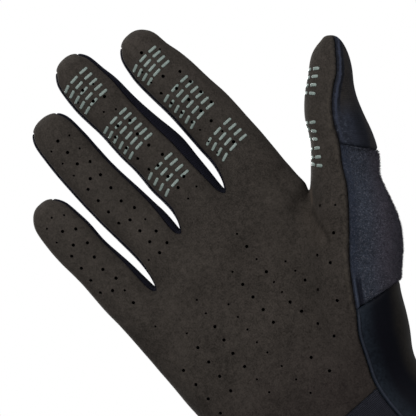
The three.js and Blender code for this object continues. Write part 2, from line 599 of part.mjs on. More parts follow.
// Printed bars in rows and columns on one thin film, which lies on the finger's form
function gripGeometry({ finger, top, rows, turns }) {
  const owner = FINGERS[finger];
  const form = owner ? (at, turn) => fingerPoint(owner, at, turn) : thumbPoint;
  const length = owner ? owner.length : THUMB_LENGTH;
  const spin = GRIP_BAR.length / (owner ? owner.width : THUMB_WIDTH * THUMB.grip);
  const us = turns.map(rad).flatMap((turn) => [turn - spin, turn + spin]);
  const heights = Array.from({ length: rows }, (_, n) => (rows - 1 - n) * GRIP_BAR.row);
  const vs = heights.flatMap((h) => [h + GRIP_BAR.width / 2, h - GRIP_BAR.width / 2])
    .map((below) => top - below / length);
  const levels = [GRIP_CLEAR, GRIP_CLEAR + GRIP_FILM, GRIP_CLEAR + GRIP_FILM + GRIP_BAR.height];
  const fall = owner ? GRIP_FALL / length / (us.at(-1) - us[0]) : 0;
  const points = levels.flatMap((level) => vs.flatMap((v) => us.map((u) => {
    const at = v - fall * (us.at(-1) - u);
    return form(at, u).addScaledVector(outward(form, at, u), level);
  })));
  const id = (i, j, level) => (level * vs.length + j) * us.length + i;
  const faces = [];
  const quad = (a, b, c, d) => faces.push(a, b, c, a, c, d);
  const wall = ([i, j], [k, l], level) => {
    quad(id(i, j, level), id(k, l, level), id(k, l, level + 1), id(i, j, level + 1));
  };
  const [across, along] = [us.length - 1, vs.length - 1];
  for (let i = 0; i < across; i++) {
    for (let j = 0; j < along; j++) {
      const corners = [[i, j], [i + 1, j], [i + 1, j + 1], [i, j + 1]];
      const bar = i % 2 === 0 && j % 2 === 0;
      quad(...corners.map(([a, b]) => id(a, b, bar ? 2 : 1)));
      quad(...corners.map(([a, b]) => id(a, b, 0)).reverse());
      if (bar) corners.forEach((corner, n) => wall(corner, corners[(n + 1) % 4], 1));
      if (j === 0) wall(corners[0], corners[1], 0);
      if (i === across - 1) wall(corners[1], corners[2], 0);
      if (j === along - 1) wall(corners[2], corners[3], 0);
      if (i === 0) wall(corners[3], corners[0], 0);
    }
  }
  return new THREE.BufferGeometry().setFromPoints(points).setIndex(faces);
}

function solidOf(geometry) {
  const bare = geometry.clone();
  ["normal", "uv"].forEach((name) => bare.deleteAttribute(name));
  const merged = mergeVertices(bare, 1e-4);
  const vertProperties = new Float32Array(merged.attributes.position.array);
  const triVerts = new Uint32Array(merged.index.array);
  return new wasm.Manifold(new wasm.Mesh({ numProp: 3, vertProperties, triVerts }));
}

function geometryOf(solid) {
  const { numProp, numVert, vertProperties, triVerts } = solid.getMesh();
  const position = new Float32Array(numVert * 3);
  for (let i = 0; i < numVert; i++) {
    position.set(vertProperties.subarray(i * numProp, i * numProp + 3), i * 3);
  }
  const geometry = new THREE.BufferGeometry();
  geometry.setAttribute("position", new THREE.BufferAttribute(position, 3));
  return geometry.setIndex(new THREE.BufferAttribute(triVerts, 1));
}

// Middles of all air holes, as seen from the palm's side
function airHoles() {
  const palm = PALM_AIR.flatMap(({ x, z, count }) => Array.from({ length: count }, (_, n) => {
    return vec(x * PALM_WIDTH, 0, CUFF_LENGTH + z * PALM_LENGTH + n * AIR_PITCH.palm);
  }));
  const rows = FINGER_AIR.flatMap(({ finger, at, rows: count }) => {
    const owner = FINGERS[finger];
    return Array.from({ length: count }, (_, n) => {
      const turns = n % 2 ? [0] : [-AIR_TURN, AIR_TURN];
      return turns.map((t) => fingerPoint(owner, at + (n * AIR_PITCH.finger) / owner.length, rad(t)));
    }).flat();
  });
  return [...palm, ...rows];
}

// Cuts the air holes through a piece, straight from front to back
function pierced(geometry) {
  const reach = 2 * (CUFF_DEPTH + THUMB_DEPTH);
  return geometryOf(airHoles().reduce((solid, { x, z }) => {
    const drill = new THREE.CylinderGeometry(HOLE.across / 2, HOLE.across / 2, reach, HOLE.sides);
    return solid.subtract(solidOf(drill.translate(x, 0, z)));
  }, solidOf(geometry)));
}

const cloth = (color, roughness, metalness = 0) => {
  return new THREE.MeshStandardMaterial({ color, roughness, metalness });
};
const suede = cloth(0x34302c, 0.95);
const knit = cloth(0x1b1e2a, 0.85);
const satin = cloth(0x14151f, 0.5);
const fleece = cloth(0x2b2e38, 1);
const stretch = cloth(0x22212a, 0.8);
const silicone = cloth(0x96a59f, 0.35);

const PIECES = [
  { name: "palm_panel", wall: SUEDE, material: suede },
  { name: "back_panel", wall: KNIT, material: knit },
  ...gussets.map((name) => ({ name, wall: KNIT, material: knit.clone() })),
  { name: "thumb_back", wall: KNIT, material: knit.clone() },
  { name: "terry_patch", wall: TERRY, proud: TERRY_PROUD, material: fleece },
  { name: "side_panel", wall: SATIN, material: satin },
  { name: "heel_panel", wall: KNIT, material: stretch },
];

const glove = new THREE.Group();
function addPiece(name, geometry, material) {
  const mesh = new THREE.Mesh(geometry, material);
  mesh.name = name;
  glove.add(mesh);
}
PIECES.forEach(({ name, wall, proud, material }) => {
  const geometry = pieceGeometry(name, wall, proud);
  addPiece(name, name === "palm_panel" ? pierced(geometry) : geometry, material);
});
GRIPS.forEach((grip) => addPiece(grip.name, gripGeometry(grip), silicone.clone()));
export default glove;
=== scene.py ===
import math

import bmesh
import bpy
import numpy as np
from mathutils import Matrix, Vector, noise
from mathutils.bvhtree import BVHTree
from mathutils.kdtree import KDTree


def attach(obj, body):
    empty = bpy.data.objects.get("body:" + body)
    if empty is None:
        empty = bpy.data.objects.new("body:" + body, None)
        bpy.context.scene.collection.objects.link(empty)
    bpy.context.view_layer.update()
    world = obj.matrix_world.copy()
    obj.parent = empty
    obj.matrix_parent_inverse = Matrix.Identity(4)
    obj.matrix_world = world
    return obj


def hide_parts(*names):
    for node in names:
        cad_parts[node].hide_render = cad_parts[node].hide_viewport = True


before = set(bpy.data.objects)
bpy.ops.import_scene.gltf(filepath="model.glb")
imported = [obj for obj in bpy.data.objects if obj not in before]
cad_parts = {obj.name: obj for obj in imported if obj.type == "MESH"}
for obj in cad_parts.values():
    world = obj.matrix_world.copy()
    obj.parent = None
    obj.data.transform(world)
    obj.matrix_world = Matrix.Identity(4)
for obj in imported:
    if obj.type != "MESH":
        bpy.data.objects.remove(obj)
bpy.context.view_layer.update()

mm = 0.001
print("frame loaded:", len(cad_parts), "nodes")

# The glove's skin, in millimetres: the same sections as the solids have, made smooth here
skin = {
    "cuffLength": 41, "cuffWidth": 69, "cuffDepth": 43,
    "palmLength": 100, "palmWidth": 96, "palmDepth": 28,
    "thumbLength": 62.5, "thumbWidth": 29, "thumbDepth": 25, "thumbAngle": 35,
    "webRise": 3.5, "seamGap": 0.3, "leftSeam": 0.93, "slopeEnd": 0.32,
    "squareFinger": 2.2, "squareCuff": 2.15, "squarePalm": 2.5,
    "dome": (0.5, 0.82), "curlPower": 1.7, "rootInset": 2.3,
    "edgeInset": 0.047, "edgeTurn": 0.06, "lobeBlend": 0.11,
    "thirds": (1 / 3, 2 / 3, 1), "sideShares": (0.5, 0.86),
    "tipShares": ((0.27, 0.12), (0.5, 0), (0.73, 0.12)),  # across a closed tip, and how much lower
    "fingerBehind": (120, 150, 180, 210, 240),  # degrees round from the front
    "thumbInner": -70, "thumbOuter": (0.36, 0.7, 1), "thumbBehind": (122, 154, 190, 228, 266),
    "fitSteps": 6, "smoothLevel": 3,
    "mouthCalm": 8, "mouthLevel": 3,  # heights up to which the mouth stays smooth and flat
}
heelRow, patchRow, patchTop = 3, 6, 2  # rows where a piece begins or ends

# Sections of the hand, as shares: heights, then places across, then depths
trunkColumns = "upL upW upS upE grow left web seam edge right lobe front back deep lean".split()
trunkTable = [
    (0, 0, 0, 0, 0, -0.514, 0.116, 0.217, 0.514, 0.514, 0, 0.523, 0.523, 0.28, 0),
    (0.22, 0.22, 0.22, 0.22, 0, -0.5, 0.116, 0.217, 0.505, 0.505, 0, 0.5, 0.5, 0.28, 0),
    (0.6, 0.6, 0.6, 0.58, 0, -0.486, 0.116, 0.217, 0.493, 0.493, 0, 0.488, 0.488, 0.28, 0),
    (0, 0, 0, -0.02, 0, -0.529, 0.13, 0.23, 0.519, 0.519, 0, 0.488, 0.465, 0.326, 0.047),
    (0.11, 0.125, 0.115, 0.07, 0.3, -0.54, 0.162, 0.259, 0.532, 0.493, 0.039, 0.532, 0.468,
     0.442, 0.104),
    (0.21, 0.235, 0.215, 0.16, 0.6, -0.527, 0.188, 0.284, 0.54, 0.481, 0.082, 0.559, 0.485,
     0.544, 0.162),
    (0.315, 0.35, 0.297, 0.267, 0.8, -0.519, 0.237, 0.333, 0.571, 0.486, 0.143, 0.548, 0.494,
     0.597, 0.21),
    (0.42, 0.48, 0.44, 0.36, 1, -0.493, 0.307, 0.409, 0.628, 0.484, 0.219, 0.546, 0.511,
     0.643, 0.25),
    (0.53, 0.62, 0.555, 0.475, 1, -0.492, 0.391, 0.509, 0.704, 0.5, 0.313, 0.511, 0.493,
     0.571, 0.268),
    (0.65, 0.755, 0.694, 0.6, 1, -0.492, 0.479, 0.625, 0.741, 0.507, 0.49, 0.493, 0.475,
     0.475, 0.268),
]
knuckleColumns = "upL upW left web right front back".split()
knuckleTable = [
    (0.705, 0.812, -0.492, 0.483, 0.508, 0.485, 0.468),
    (0.76, 0.86, -0.492, 0.485, 0.508, 0.475, 0.461),
    (0.84, 0.92, -0.493, 0.485, 0.507, 0.439, 0.436),
]
gapShares = (0.91, 0.89, 1, 1.005, 0.96)
# Soft dents and swells of the palm: x, z, reach x, reach z, out
swellTable = [
    (-0.3, 0.28, 0.17, 0.3, 0.12), (0.02, 0.56, 0.17, 0.2, -0.09),
    (-0.38, 0.84, 0.09, 0.09, 0.05), (-0.14, 0.86, 0.09, 0.09, 0.06),
    (0.11, 0.88, 0.1, 0.09, 0.06), (0.36, 0.86, 0.1, 0.1, 0.06), (0.43, 0.66, 0.06, 0.12, -0.1),
]
# Sections of a finger: share of the length, shift, width, depth, seam
fingerTable = [
    {"name": "pinky", "x": -0.379, "length": 56.5, "width": 19.5, "depth": 16.6, "curl": 5.5,
     "cap": 0.204, "power": 2.05, "sections": [
         (0, 0.01, 1.13, 1.2, 0.7), (0.159, -0.026, 1.085, 1.08, 0.82),
         (0.336, -0.056, 1, 1, 0.9), (0.513, -0.103, 0.987, 1, 0.92),
         (0.655, -0.113, 1.005, 0.96, 0.92), (0.796, -0.123, 0.94, 0.86, 0.92)]},
    {"name": "ring", "x": -0.1435, "length": 77.9, "width": 21, "depth": 18, "curl": 7,
     "cap": 0.166, "power": 2.4, "sections": [
         (0, 0, 1.08, 1.2, 0.74), (0.121, 0.03, 1.035, 1.1, 0.76),
         (0.248, 0, 1.02, 1.02, 0.86), (0.376, -0.045, 1.02, 1.02, 0.91),
         (0.503, -0.077, 1, 0.99, 0.92), (0.631, -0.097, 0.989, 0.95, 0.92),
         (0.758, -0.098, 0.983, 0.93, 0.92), (0.834, -0.098, 0.95, 0.86, 0.92)]},
    {"name": "middle", "x": 0.112, "length": 84.5, "width": 22.5, "depth": 19, "curl": 7.5,
     "cap": 0.15, "power": 2.1, "sections": [
         (0, -0.028, 1.09, 1.16, 0.74), (0.104, 0.01, 1, 1.08, 0.72),
         (0.222, 0.01, 1.044, 1.03, 0.64), (0.34, 0.015, 1.055, 1.03, 0.61),
         (0.459, -0.04, 1.03, 0.99, 0.66), (0.577, -0.077, 0.975, 0.94, 0.73),
         (0.695, -0.115, 0.966, 0.93, 0.8), (0.773, -0.139, 0.956, 0.91, 0.86),
         (0.85, -0.163, 0.885, 0.84, 0.9)]},
    {"name": "index", "x": 0.378, "length": 76.8, "width": 23.2, "depth": 19, "curl": 6.5,
     "cap": 0.162, "power": 2.1, "sections": [
         (0, -0.035, 1.13, 1.18, 0.88), (0.139, 0.022, 1.03, 1.09, 0.9),
         (0.268, 0.022, 1.028, 1.02, 0.9), (0.398, 0.022, 1.02, 1.02, 0.9),
         (0.527, -0.008, 0.98, 0.97, 0.9), (0.657, -0.051, 0.98, 0.94, 0.9),
         (0.77, -0.095, 0.94, 0.91, 0.9), (0.838, -0.118, 0.86, 0.84, 0.9)]},
]
# Sections of the thumb: share of the length, shift, width, depth, tilt, lean, seam
thumbTable = {"cap": 0.24, "power": 1.75, "tip": 0.06, "tipSeam": 0.25, "sections": [
    (0.142, 0.01, 0.925, 0.99, 0.1, 0.3, -0.09), (0.28, 0.036, 0.93, 0.95, 0.125, 0.33, -0.16),
    (0.41, -0.017, 0.9, 0.89, 0.08, 0.36, -0.15), (0.55, -0.073, 0.78, 0.82, 0.035, 0.4, -0.03),
    (0.67, -0.077, 0.68, 0.75, 0, 0.45, 0.15), (0.76, -0.051, 0.615, 0.67, 0, 0.49, 0.27)]}

cagePoints, cageQuads, cageLabels = [], [], []
nodeNames = ["palm_panel", "back_panel", "fourchette_pinky_ring", "fourchette_ring_middle",
             "fourchette_middle_index", "thumb_back", "terry_patch", "side_panel", "heel_panel"]
palm, back, thumbBack, terry, side, heel = 0, 1, 5, 6, 7, 8


def lerp(a, b, t):
    return a + (b - a) * t


def addPoint(point):
    cagePoints.append(tuple(point))
    return len(cagePoints) - 1


def bridge(low, high, labelOf):
    for i, a in enumerate(low):
        j = (i + 1) % len(low)
        cageQuads.append((a, low[j], high[j], high[i]))
        cageLabels.append(labelOf(i))


def arch(share, depth, power):
    s = abs(share)
    return depth * (1 - s ** power) ** (1 / power) if s < 1 else -2 * depth * (s - 1)


def swell(x, z):
    total = 0
    for sx, sz, rx, rz, out in swellTable:
        u = (x / skin["palmWidth"] - sx) / rx
        v = ((z - skin["cuffLength"]) / skin["palmLength"] - sz) / rz
        total += out * skin["palmDepth"] * math.exp(-u * u - v * v)
    return total


def sized(values, columns, inCuff=False):
    row = dict(zip(columns, values))
    grow = row.get("grow", 1)
    width = lerp(skin["cuffWidth"], skin["palmWidth"], grow)
    depth = lerp(skin["cuffDepth"], skin["palmDepth"], grow)
    for key in row:
        if key.startswith("up"):
            cuff, hand = skin["cuffLength"], skin["palmLength"]
            row[key] = row[key] * cuff if inCuff else cuff + row[key] * hand
        elif key in ("front", "back", "deep", "lean"):
            row[key] *= depth
        elif key != "grow":
            row[key] *= width
    row["square"] = lerp(skin["squareCuff"], skin["squarePalm"], grow)
    return row


def trunkDepth(row, x, face):
    middle = (row["left"] + row["right"]) / 2
    flat = arch((x - middle) / (row["right"] - middle), row[face], row["square"])
    if "lobe" not in row:
        return flat
    centre = (row["lobe"] + row["edge"]) / 2
    lean = row["lean"] if face == "front" else -row["lean"]
    lobe = lean + arch((x - centre) / (row["edge"] - centre), row["deep"], skin["squareFinger"])
    return (flat + lobe + math.hypot(flat - lobe, skin["palmDepth"] * skin["lobeBlend"])) / 2


def signedPower(value, power):
    return math.copysign(abs(value) ** (2 / power), value)


def track(rows, column, at):
    if at <= rows[0][0]:
        return rows[0][column]
    for low, high in zip(rows, rows[1:]):
        if high[0] >= at:
            return lerp(low[column], high[column], (at - low[0]) / (high[0] - low[0]))
    return rows[-1][column]


def domeShare(past, power):
    return (1 - past ** power) ** (1 / power)


gapHeights = [skin["cuffLength"] + share * skin["palmLength"] for share in gapShares]


def fingerPoint(finger, at, angle):
    n = fingerTable.index(finger)
    low, high = gapHeights[n], gapHeights[n + 1]
    body = min(at, 1 - finger["cap"])
    dome = domeShare((at - body) / finger["cap"], finger["power"])
    level = 1 - min(1, max(0, at / skin["slopeEnd"]))
    x = finger["x"] * skin["palmWidth"] + track(finger["sections"], 1, body) * finger["width"]
    half = finger["width"] / 2 * track(finger["sections"], 2, body) * dome
    deep = finger["depth"] / 2 * track(finger["sections"], 3, body) * dome
    s = signedPower(math.sin(angle), skin["squareFinger"])
    c = signedPower(math.cos(angle), skin["squareFinger"])
    z = (low + high) / 2 + finger["length"] * at + (high - low) / 2 * s * level
    return (x + half * s, -finger["curl"] * at ** skin["curlPower"] - deep * c, z)


def fingerRing(finger, at):
    seam = track(finger["sections"], 4, min(at, 1 - finger["cap"]))
    a, b = -math.asin(skin["leftSeam"]), math.asin(seam)
    behind = [math.radians(d) for d in skin["fingerBehind"]]
    front = [lerp(a, b, n / 4) for n in range(5)]
    turns = [*front, (b + behind[0]) / 2, *behind, (a - behind[0]) / 2]
    return [fingerPoint(finger, at, turn) for turn in turns]


def capRing(ring, tips, frontOf, backOf):
    middle = [ring[11], *tips, ring[5]]
    for n in range(4):
        cageQuads.append((ring[n], ring[n + 1], middle[n + 1], middle[n]))
        cageLabels.append(frontOf(n))
        cageQuads.append((middle[n], middle[n + 1], ring[9 - n], ring[10 - n]))
        cageLabels.append(backOf(n))


def tipPoints(ring, height, axis):
    a, b = Vector(cagePoints[ring[11]]), Vector(cagePoints[ring[5]])
    return [addPoint(a.lerp(b, share) + axis * height * (1 - drop))
            for share, drop in skin["tipShares"]]


def rootEdge(finger, sideSign):
    shift, wide = finger["sections"][0][1:3]
    return finger["x"] * skin["palmWidth"] + finger["width"] * (shift + sideSign * wide / 2)


rootX = [rootEdge(fingerTable[0], -1) + skin["rootInset"]]
for low, high in zip(fingerTable, fingerTable[1:]):
    rootX.append((rootEdge(low, 1) + rootEdge(high, -1)) / 2)
rootX.append(rootEdge(fingerTable[3], 1) - skin["rootInset"])
frontCount = 4 * len(fingerTable) + 1  # points across the front of the palm
spread = []
for c in range(frontCount):
    n = min(c // 4, 3)
    x = lerp(rootX[n], rootX[n + 1], (c - 4 * n) / 4)
    spread.append((x - rootX[0]) / (rootX[4] - rootX[0]))


def palmPoints(row):
    inset = (row["right"] - row["left"]) * skin["edgeInset"]
    front, behind = [], []
    for share in spread:
        x = lerp(row["left"] + inset, row["web"], share)
        z = lerp(row["upL"], row["upW"], share ** 2)
        front.append((x, -trunkDepth(row, x, "front") - swell(x, z), z))
        behind.append((x, trunkDepth(row, x, "back"), z))
    return front, behind[::-1], (row["left"], 0, row["upL"])


def thumbSidePoints(row):
    def heightAt(x):
        if x < row["seam"]:
            return lerp(row["upW"], row["upS"], (x - row["web"]) / (row["seam"] - row["web"]))
        return lerp(row["upS"], row["upE"], (x - row["seam"]) / (row["edge"] - row["seam"]))

    front = [lerp(row["web"], row["seam"], s) for s in skin["thirds"]]
    front += [lerp(row["seam"], row["edge"], s) for s in skin["sideShares"]]
    turn = row["edge"] - (row["edge"] - row["lobe"]) * skin["edgeTurn"]
    behind = [lerp(turn, row["web"], s) for s in (0, *skin["thirds"][:2])]
    made = [(x, -trunkDepth(row, x, "front"), heightAt(x)) for x in front]
    made.append((row["edge"], -row["lean"], row["upE"]))
    for x in behind:
        share = (row["edge"] - x) / (row["edge"] - row["web"])
        made.append((x, trunkDepth(row, x, "back"), lerp(row["upE"], row["upW"], share)))
    return made


# Places in a ring of the trunk: thumb's seam, thumb's back, web behind, palm's left edge
seamAt, thumbBackAt, webBackAt = frontCount + 2, frontCount + 7, frontCount + 9
leftAt = 2 * frontCount + 9


def trunkLabel(row):
    edge = side if row < patchRow else terry
    front = heel if row < heelRow else palm
    return lambda i: front if i < seamAt or i == leftAt else edge if i < thumbBackAt else back


trunkRows = [sized(v, trunkColumns, n < heelRow) for n, v in enumerate(trunkTable)]
rings = []
for row in trunkRows:
    front, behind, left = palmPoints(row)
    rings.append([addPoint(p) for p in [*front, *thumbSidePoints(row), *behind, left]])
for n, ring in enumerate(rings[1:]):
    bridge(rings[n], ring, trunkLabel(n))
gapRow, gapRing = trunkRows[-1], rings[-1]
web = addPoint((gapRow["right"], 0, gapRow["upW"] + skin["webRise"]))
thumbBase = [*gapRing[frontCount - 1:webBackAt + 1], web]
palmRing = [*gapRing[:frontCount], web, *gapRing[webBackAt:]]


def palmLabel(i):
    return palm if i < frontCount or i == 2 * frontCount + 1 else back


for values in knuckleTable:
    row = sized(values, knuckleColumns)
    front, behind, left = palmPoints(row)
    ring = [addPoint(p) for p in [*front, (row["right"], 0, row["upW"]), *behind, left]]
    bridge(palmRing, ring, palmLabel)
    palmRing = ring

rootRings = [fingerRing(finger, 0) for finger in fingerTable]
gapPoints = []
for n in range(3):
    three = []
    for right, left in ((4, 0), (5, 11), (6, 10)):
        p = Vector(rootRings[n][right]).lerp(Vector(rootRings[n + 1][left]), 0.5)
        three.append(addPoint((p.x, p.y, gapHeights[n + 1])))
    gapPoints.append(three)
rootIds = []
for n, ring in enumerate(rootRings):
    ids = []
    for i, point in enumerate(ring):
        if 4 <= i <= 6 and n < 3:
            ids.append(gapPoints[n][i - 4])
        elif (i == 0 or i >= 10) and n > 0:
            ids.append(gapPoints[n - 1][0 if i == 0 else 12 - i])
        else:
            ids.append(addPoint(point))
    rootIds.append(ids)
rootFront = [i for n, ids in enumerate(rootIds) for i in ids[1 if n else 0:5]]
rootBack = [i for n, ids in enumerate(rootIds) for i in ids[6:11][::-1][1 if n else 0:]][::-1]
bridge(palmRing, [*rootFront, rootIds[3][5], *rootBack, rootIds[0][11]], palmLabel)

for n, finger in enumerate(fingerTable):
    def fingerLabel(i, n=n):
        if i < 4:
            return palm
        if i < 6:
            return n + 2 if n < 3 else palm if i == 4 else back
        if i < 10:
            return back
        return n + 1 if n > 0 else palm if i == 11 else back

    low = rootIds[n]
    domeAts = [1 - finger["cap"] * (1 - share) for share in skin["dome"]]
    for at in [s[0] for s in finger["sections"][1:]] + domeAts:
        ring = [addPoint(p) for p in fingerRing(finger, at)]
        bridge(low, ring, fingerLabel)
        low = ring
    rise = finger["length"] * finger["cap"] * (1 - skin["dome"][1])
    tips = tipPoints(low, rise, Vector((0, 0, 1)))
    capRing(low, tips, lambda i: palm, lambda i: back)

turned = math.radians(skin["thumbAngle"])
thumbAxis = Vector((math.sin(turned), 0, math.cos(turned)))
thumbAcross = Vector((thumbAxis.z, 0, -thumbAxis.x))
thumbStart = Vector(cagePoints[web]).lerp(Vector((gapRow["edge"], 0, gapRow["upE"])), 0.5)
thumbStart.y = 0


def thumbPoint(at, angle):
    body = min(at, 1 - thumbTable["cap"])
    dome = domeShare((at - body) / thumbTable["cap"], thumbTable["power"])
    shift, wide, deep, tilt, lean = [track(thumbTable["sections"], c, body) for c in range(1, 6)]
    shift += thumbTable["tip"] * ((at - body) / thumbTable["cap"]) ** 2
    half = skin["thumbWidth"] / 2 * wide * dome
    s = math.sin(angle)
    p = thumbStart + thumbAxis * (skin["thumbLength"] * at - tilt * skin["thumbWidth"] * s)
    p = p + thumbAcross * (shift * skin["thumbWidth"] + half * s)
    y = -lean * skin["thumbDepth"] - skin["thumbDepth"] / 2 * deep * dome * math.cos(angle)
    return (p.x, y, p.z)


def thumbRing(at):
    body = min(at, 1 - thumbTable["cap"])
    turnedSeam = thumbTable["tipSeam"] * ((at - body) / thumbTable["cap"]) ** 2
    seam = math.asin(track(thumbTable["sections"], 6, body) + turnedSeam)
    suede = [lerp(math.radians(skin["thumbInner"]), seam, s) for s in (0, *skin["thirds"])]
    outer = [lerp(seam, math.radians(90), s) for s in skin["thumbOuter"]]
    behind = [math.radians(d) for d in skin["thumbBehind"]]
    return [thumbPoint(at, a) for a in [*suede, *outer, *behind]]


low = thumbBase
thumbAts = [s[0] for s in thumbTable["sections"]]
thumbAts += [1 - thumbTable["cap"] * (1 - s) for s in skin["dome"]]
for n, at in enumerate(thumbAts):
    def thumbLabel(i, n=n):
        if i < 3 or i == 11:
            return palm
        return terry if n < patchTop and i < 8 else thumbBack

    ring = [addPoint(p) for p in thumbRing(at)]
    bridge(low, ring, thumbLabel)
    low = ring
rise = skin["thumbLength"] * thumbTable["cap"] * (1 - skin["dome"][1])
capRing(low, tipPoints(low, rise, thumbAxis),
        lambda i: palm if i < 3 else thumbBack, lambda i: thumbBack)
print("cage:", len(cagePoints), "points,", len(cageQuads), "faces")

# Smooth skin that passes through the cage's points
target = np.array(cagePoints)
quads = np.array(cageQuads)
mouth = np.array(rings[0])
valence = np.bincount(quads.ravel(), minlength=len(target))[:, None]


def limitOf(points):
    sides, corners = np.zeros_like(points), np.zeros_like(points)
    for k in range(4):
        a, b, c, d = (np.roll(quads, -k, 1)[:, i] for i in range(4))
        np.add.at(sides, a, points[b] + points[d])
        np.add.at(corners, a, points[c])
    limit = (valence ** 2 * points + 2 * sides + corners) / (valence * (valence + 5))
    ends = points[mouth]
    limit[mouth] = (4 * ends + np.roll(ends, 1, 0) + np.roll(ends, -1, 0)) / 6
    return limit


cage = target.copy()
for _ in range(skin["fitSteps"]):
    cage += target - limitOf(cage)


def newObject(name, verts, faces, smooth=True):
    me = bpy.data.meshes.new(name)
    me.from_pydata(np.asarray(verts).tolist(), [], [tuple(map(int, f)) for f in faces])
    me.validate()
    if smooth:
        me.shade_smooth()
    obj = bpy.data.objects.new(name, me)
    bpy.context.scene.collection.objects.link(obj)
    return obj


def applied(obj):
    shown = obj.evaluated_get(bpy.context.evaluated_depsgraph_get())
    me = bpy.data.meshes.new_from_object(shown)
    obj.modifiers.clear()
    old, obj.data = obj.data, me
    me.name = old.name
    bpy.data.meshes.remove(old)
    return me


def numbers(items, field, width=1, kind=float):
    values = np.empty(len(items) * width, dtype=kind)
    items.foreach_get(field, values)
    return values.reshape(-1, width) if width > 1 else values


def placesOf(obj):
    return numbers(obj.data.vertices, "co", 3) / mm


cageObject = newObject("cage", cage * mm, cageQuads)
cageObject.data.polygons.foreach_set("material_index", cageLabels)
smoother = cageObject.modifiers.new("smooth", "SUBSURF")
smoother.levels = smoother.render_levels = skin["smoothLevel"]
smoother.boundary_smooth = "ALL"
fine = applied(cageObject)
points = numbers(fine.vertices, "co", 3) / mm
faces = numbers(fine.loops, "vertex_index", 1, int).reshape(-1, 4)
labels = numbers(fine.polygons, "material_index", 1, int)
bpy.data.objects.remove(cageObject)
print("skin:", len(points), "points,", len(faces), "faces")


def normalsOf(points, faces):
    a, b, c, d = (points[faces[:, i]] for i in range(4))
    across = np.cross(c - a, d - b)
    total = np.zeros_like(points)
    for i in range(4):
        np.add.at(total, faces[:, i], across)
    return total / np.maximum(np.linalg.norm(total, axis=1), 1e-12)[:, None]


normals = normalsOf(points, faces)

# Folds and slack of the worn cloth. lines: points in x and z, width, depth, ridge beside
folds = {
    "ridgeAt": 1.8,  # how many widths from the fold its ridge stands
    "lines": [
        ([(45.5, 117), (43.2, 110.5), (41.8, 104), (40.2, 98)], 1.7, 0.5, 0.25),
        ([(42, 113), (38, 103), (33, 95)], 6.5, 0.3, 0.0),
        ([(-44, 108), (-34, 111), (-22, 112)], 3.0, 0.22, 0.1),
        ([(-40, 52), (-30, 57), (-16, 59)], 3.2, 0.3, 0.15),
    ],
    "slack": ((34, 0.5), (13, 0.16), (6, 0.06)),  # size and height of the soft waves
    # painted shade along the crease at the thumb's crotch: a line and its width
    "creaseShade": ([(43.4, 112.5), (42.4, 108.3), (41.6, 102.8), (40.4, 99)], 0.75),
    # painted highlight on the light line at the crotch; painted light that brightens the shaded
    # hollow beside the crease, and its share
    "glint": ([(48.6, 119.6), (45.9, 115.6)], 0.5),
    "hollowLight": ([(41.5, 111), (39, 104)], 5.0), "hollowLightShare": 0.2, "fromFront": 4,
}


def distanceToLine(x, z, line):
    best = np.full(len(x), 1e9)
    for (ax, az), (bx, bz) in zip(line, line[1:]):
        dx, dz = bx - ax, bz - az
        t = np.clip(((x - ax) * dx + (z - az) * dz) / (dx * dx + dz * dz), 0, 1)
        best = np.minimum(best, np.hypot(x - ax - t * dx, z - az - t * dz))
    return best


shift = np.zeros(len(points))
faceOn = np.clip(-normals[:, 1] * 2, 0, 1)
for line, width, depth, ridge in folds["lines"]:
    d = distanceToLine(points[:, 0], points[:, 2], line) / width
    beside = np.exp(-((d - folds["ridgeAt"]) ** 2))
    shift += faceOn * (ridge * beside - depth * np.exp(-d * d))
for size, height in folds["slack"]:
    waves = [noise.noise(Vector(p) / size + Vector((size, 0, 0))) for p in points]
    shift += height * np.array(waves)
level = np.clip(points[:, 2] / skin["mouthCalm"], 0, 1)
points += normals * (shift * level)[:, None]
normals = normalsOf(points, faces)
normals[:, 2] *= np.clip(points[:, 2] / skin["mouthLevel"], 0, 1)
normals /= np.linalg.norm(normals, axis=1)[:, None]

# Seams: edges between faces of two pieces
edgePairs = np.stack([faces, np.roll(faces, -1, 1)], 2).reshape(-1, 2)
edgeOwner = np.repeat(np.arange(len(faces)), 4)
keys = np.sort(edgePairs, 1) @ np.array([len(points), 1])
order = np.argsort(keys, kind="stable")
same = keys[order][1:] == keys[order][:-1]
firstEdge, secondEdge = order[:-1][same], order[1:][same]
labelPairs = np.stack([labels[edgeOwner[firstEdge]], labels[edgeOwner[secondEdge]]], 1)
labelPairs = np.sort(labelPairs, 1)
seamMask = labelPairs[:, 0] != labelPairs[:, 1]
seamPairs = labelPairs[seamMask]
seamEnds = edgePairs[firstEdge[seamMask]]


def seamTree(wanted=None):
    rows = [n for n, p in enumerate(seamPairs.tolist()) if wanted is None or tuple(p) in wanted]
    spots = np.vstack([lerp(points[seamEnds[rows, 0]], points[seamEnds[rows, 1]], t)
                       for t in (0, 0.25, 0.5, 0.75)])
    tree = KDTree(len(spots))
    for n, spot in enumerate(spots):
        tree.insert(spot, n)
    tree.balance()
    return tree


def distances(tree, spots):
    return np.array([tree.find(spot)[2] for spot in spots])


allSeams = seamTree()
suedeSeams = seamTree({(palm, thumbBack), (palm, terry), (palm, side), (side, heel)})
ridgeSeams = seamTree({(palm, thumbBack), (palm, terry)})
topSeams = seamTree({(thumbBack, terry)})
fromSeam = distances(allSeams, points)
skinTree = BVHTree.FromPolygons(points.tolist(), faces.tolist())

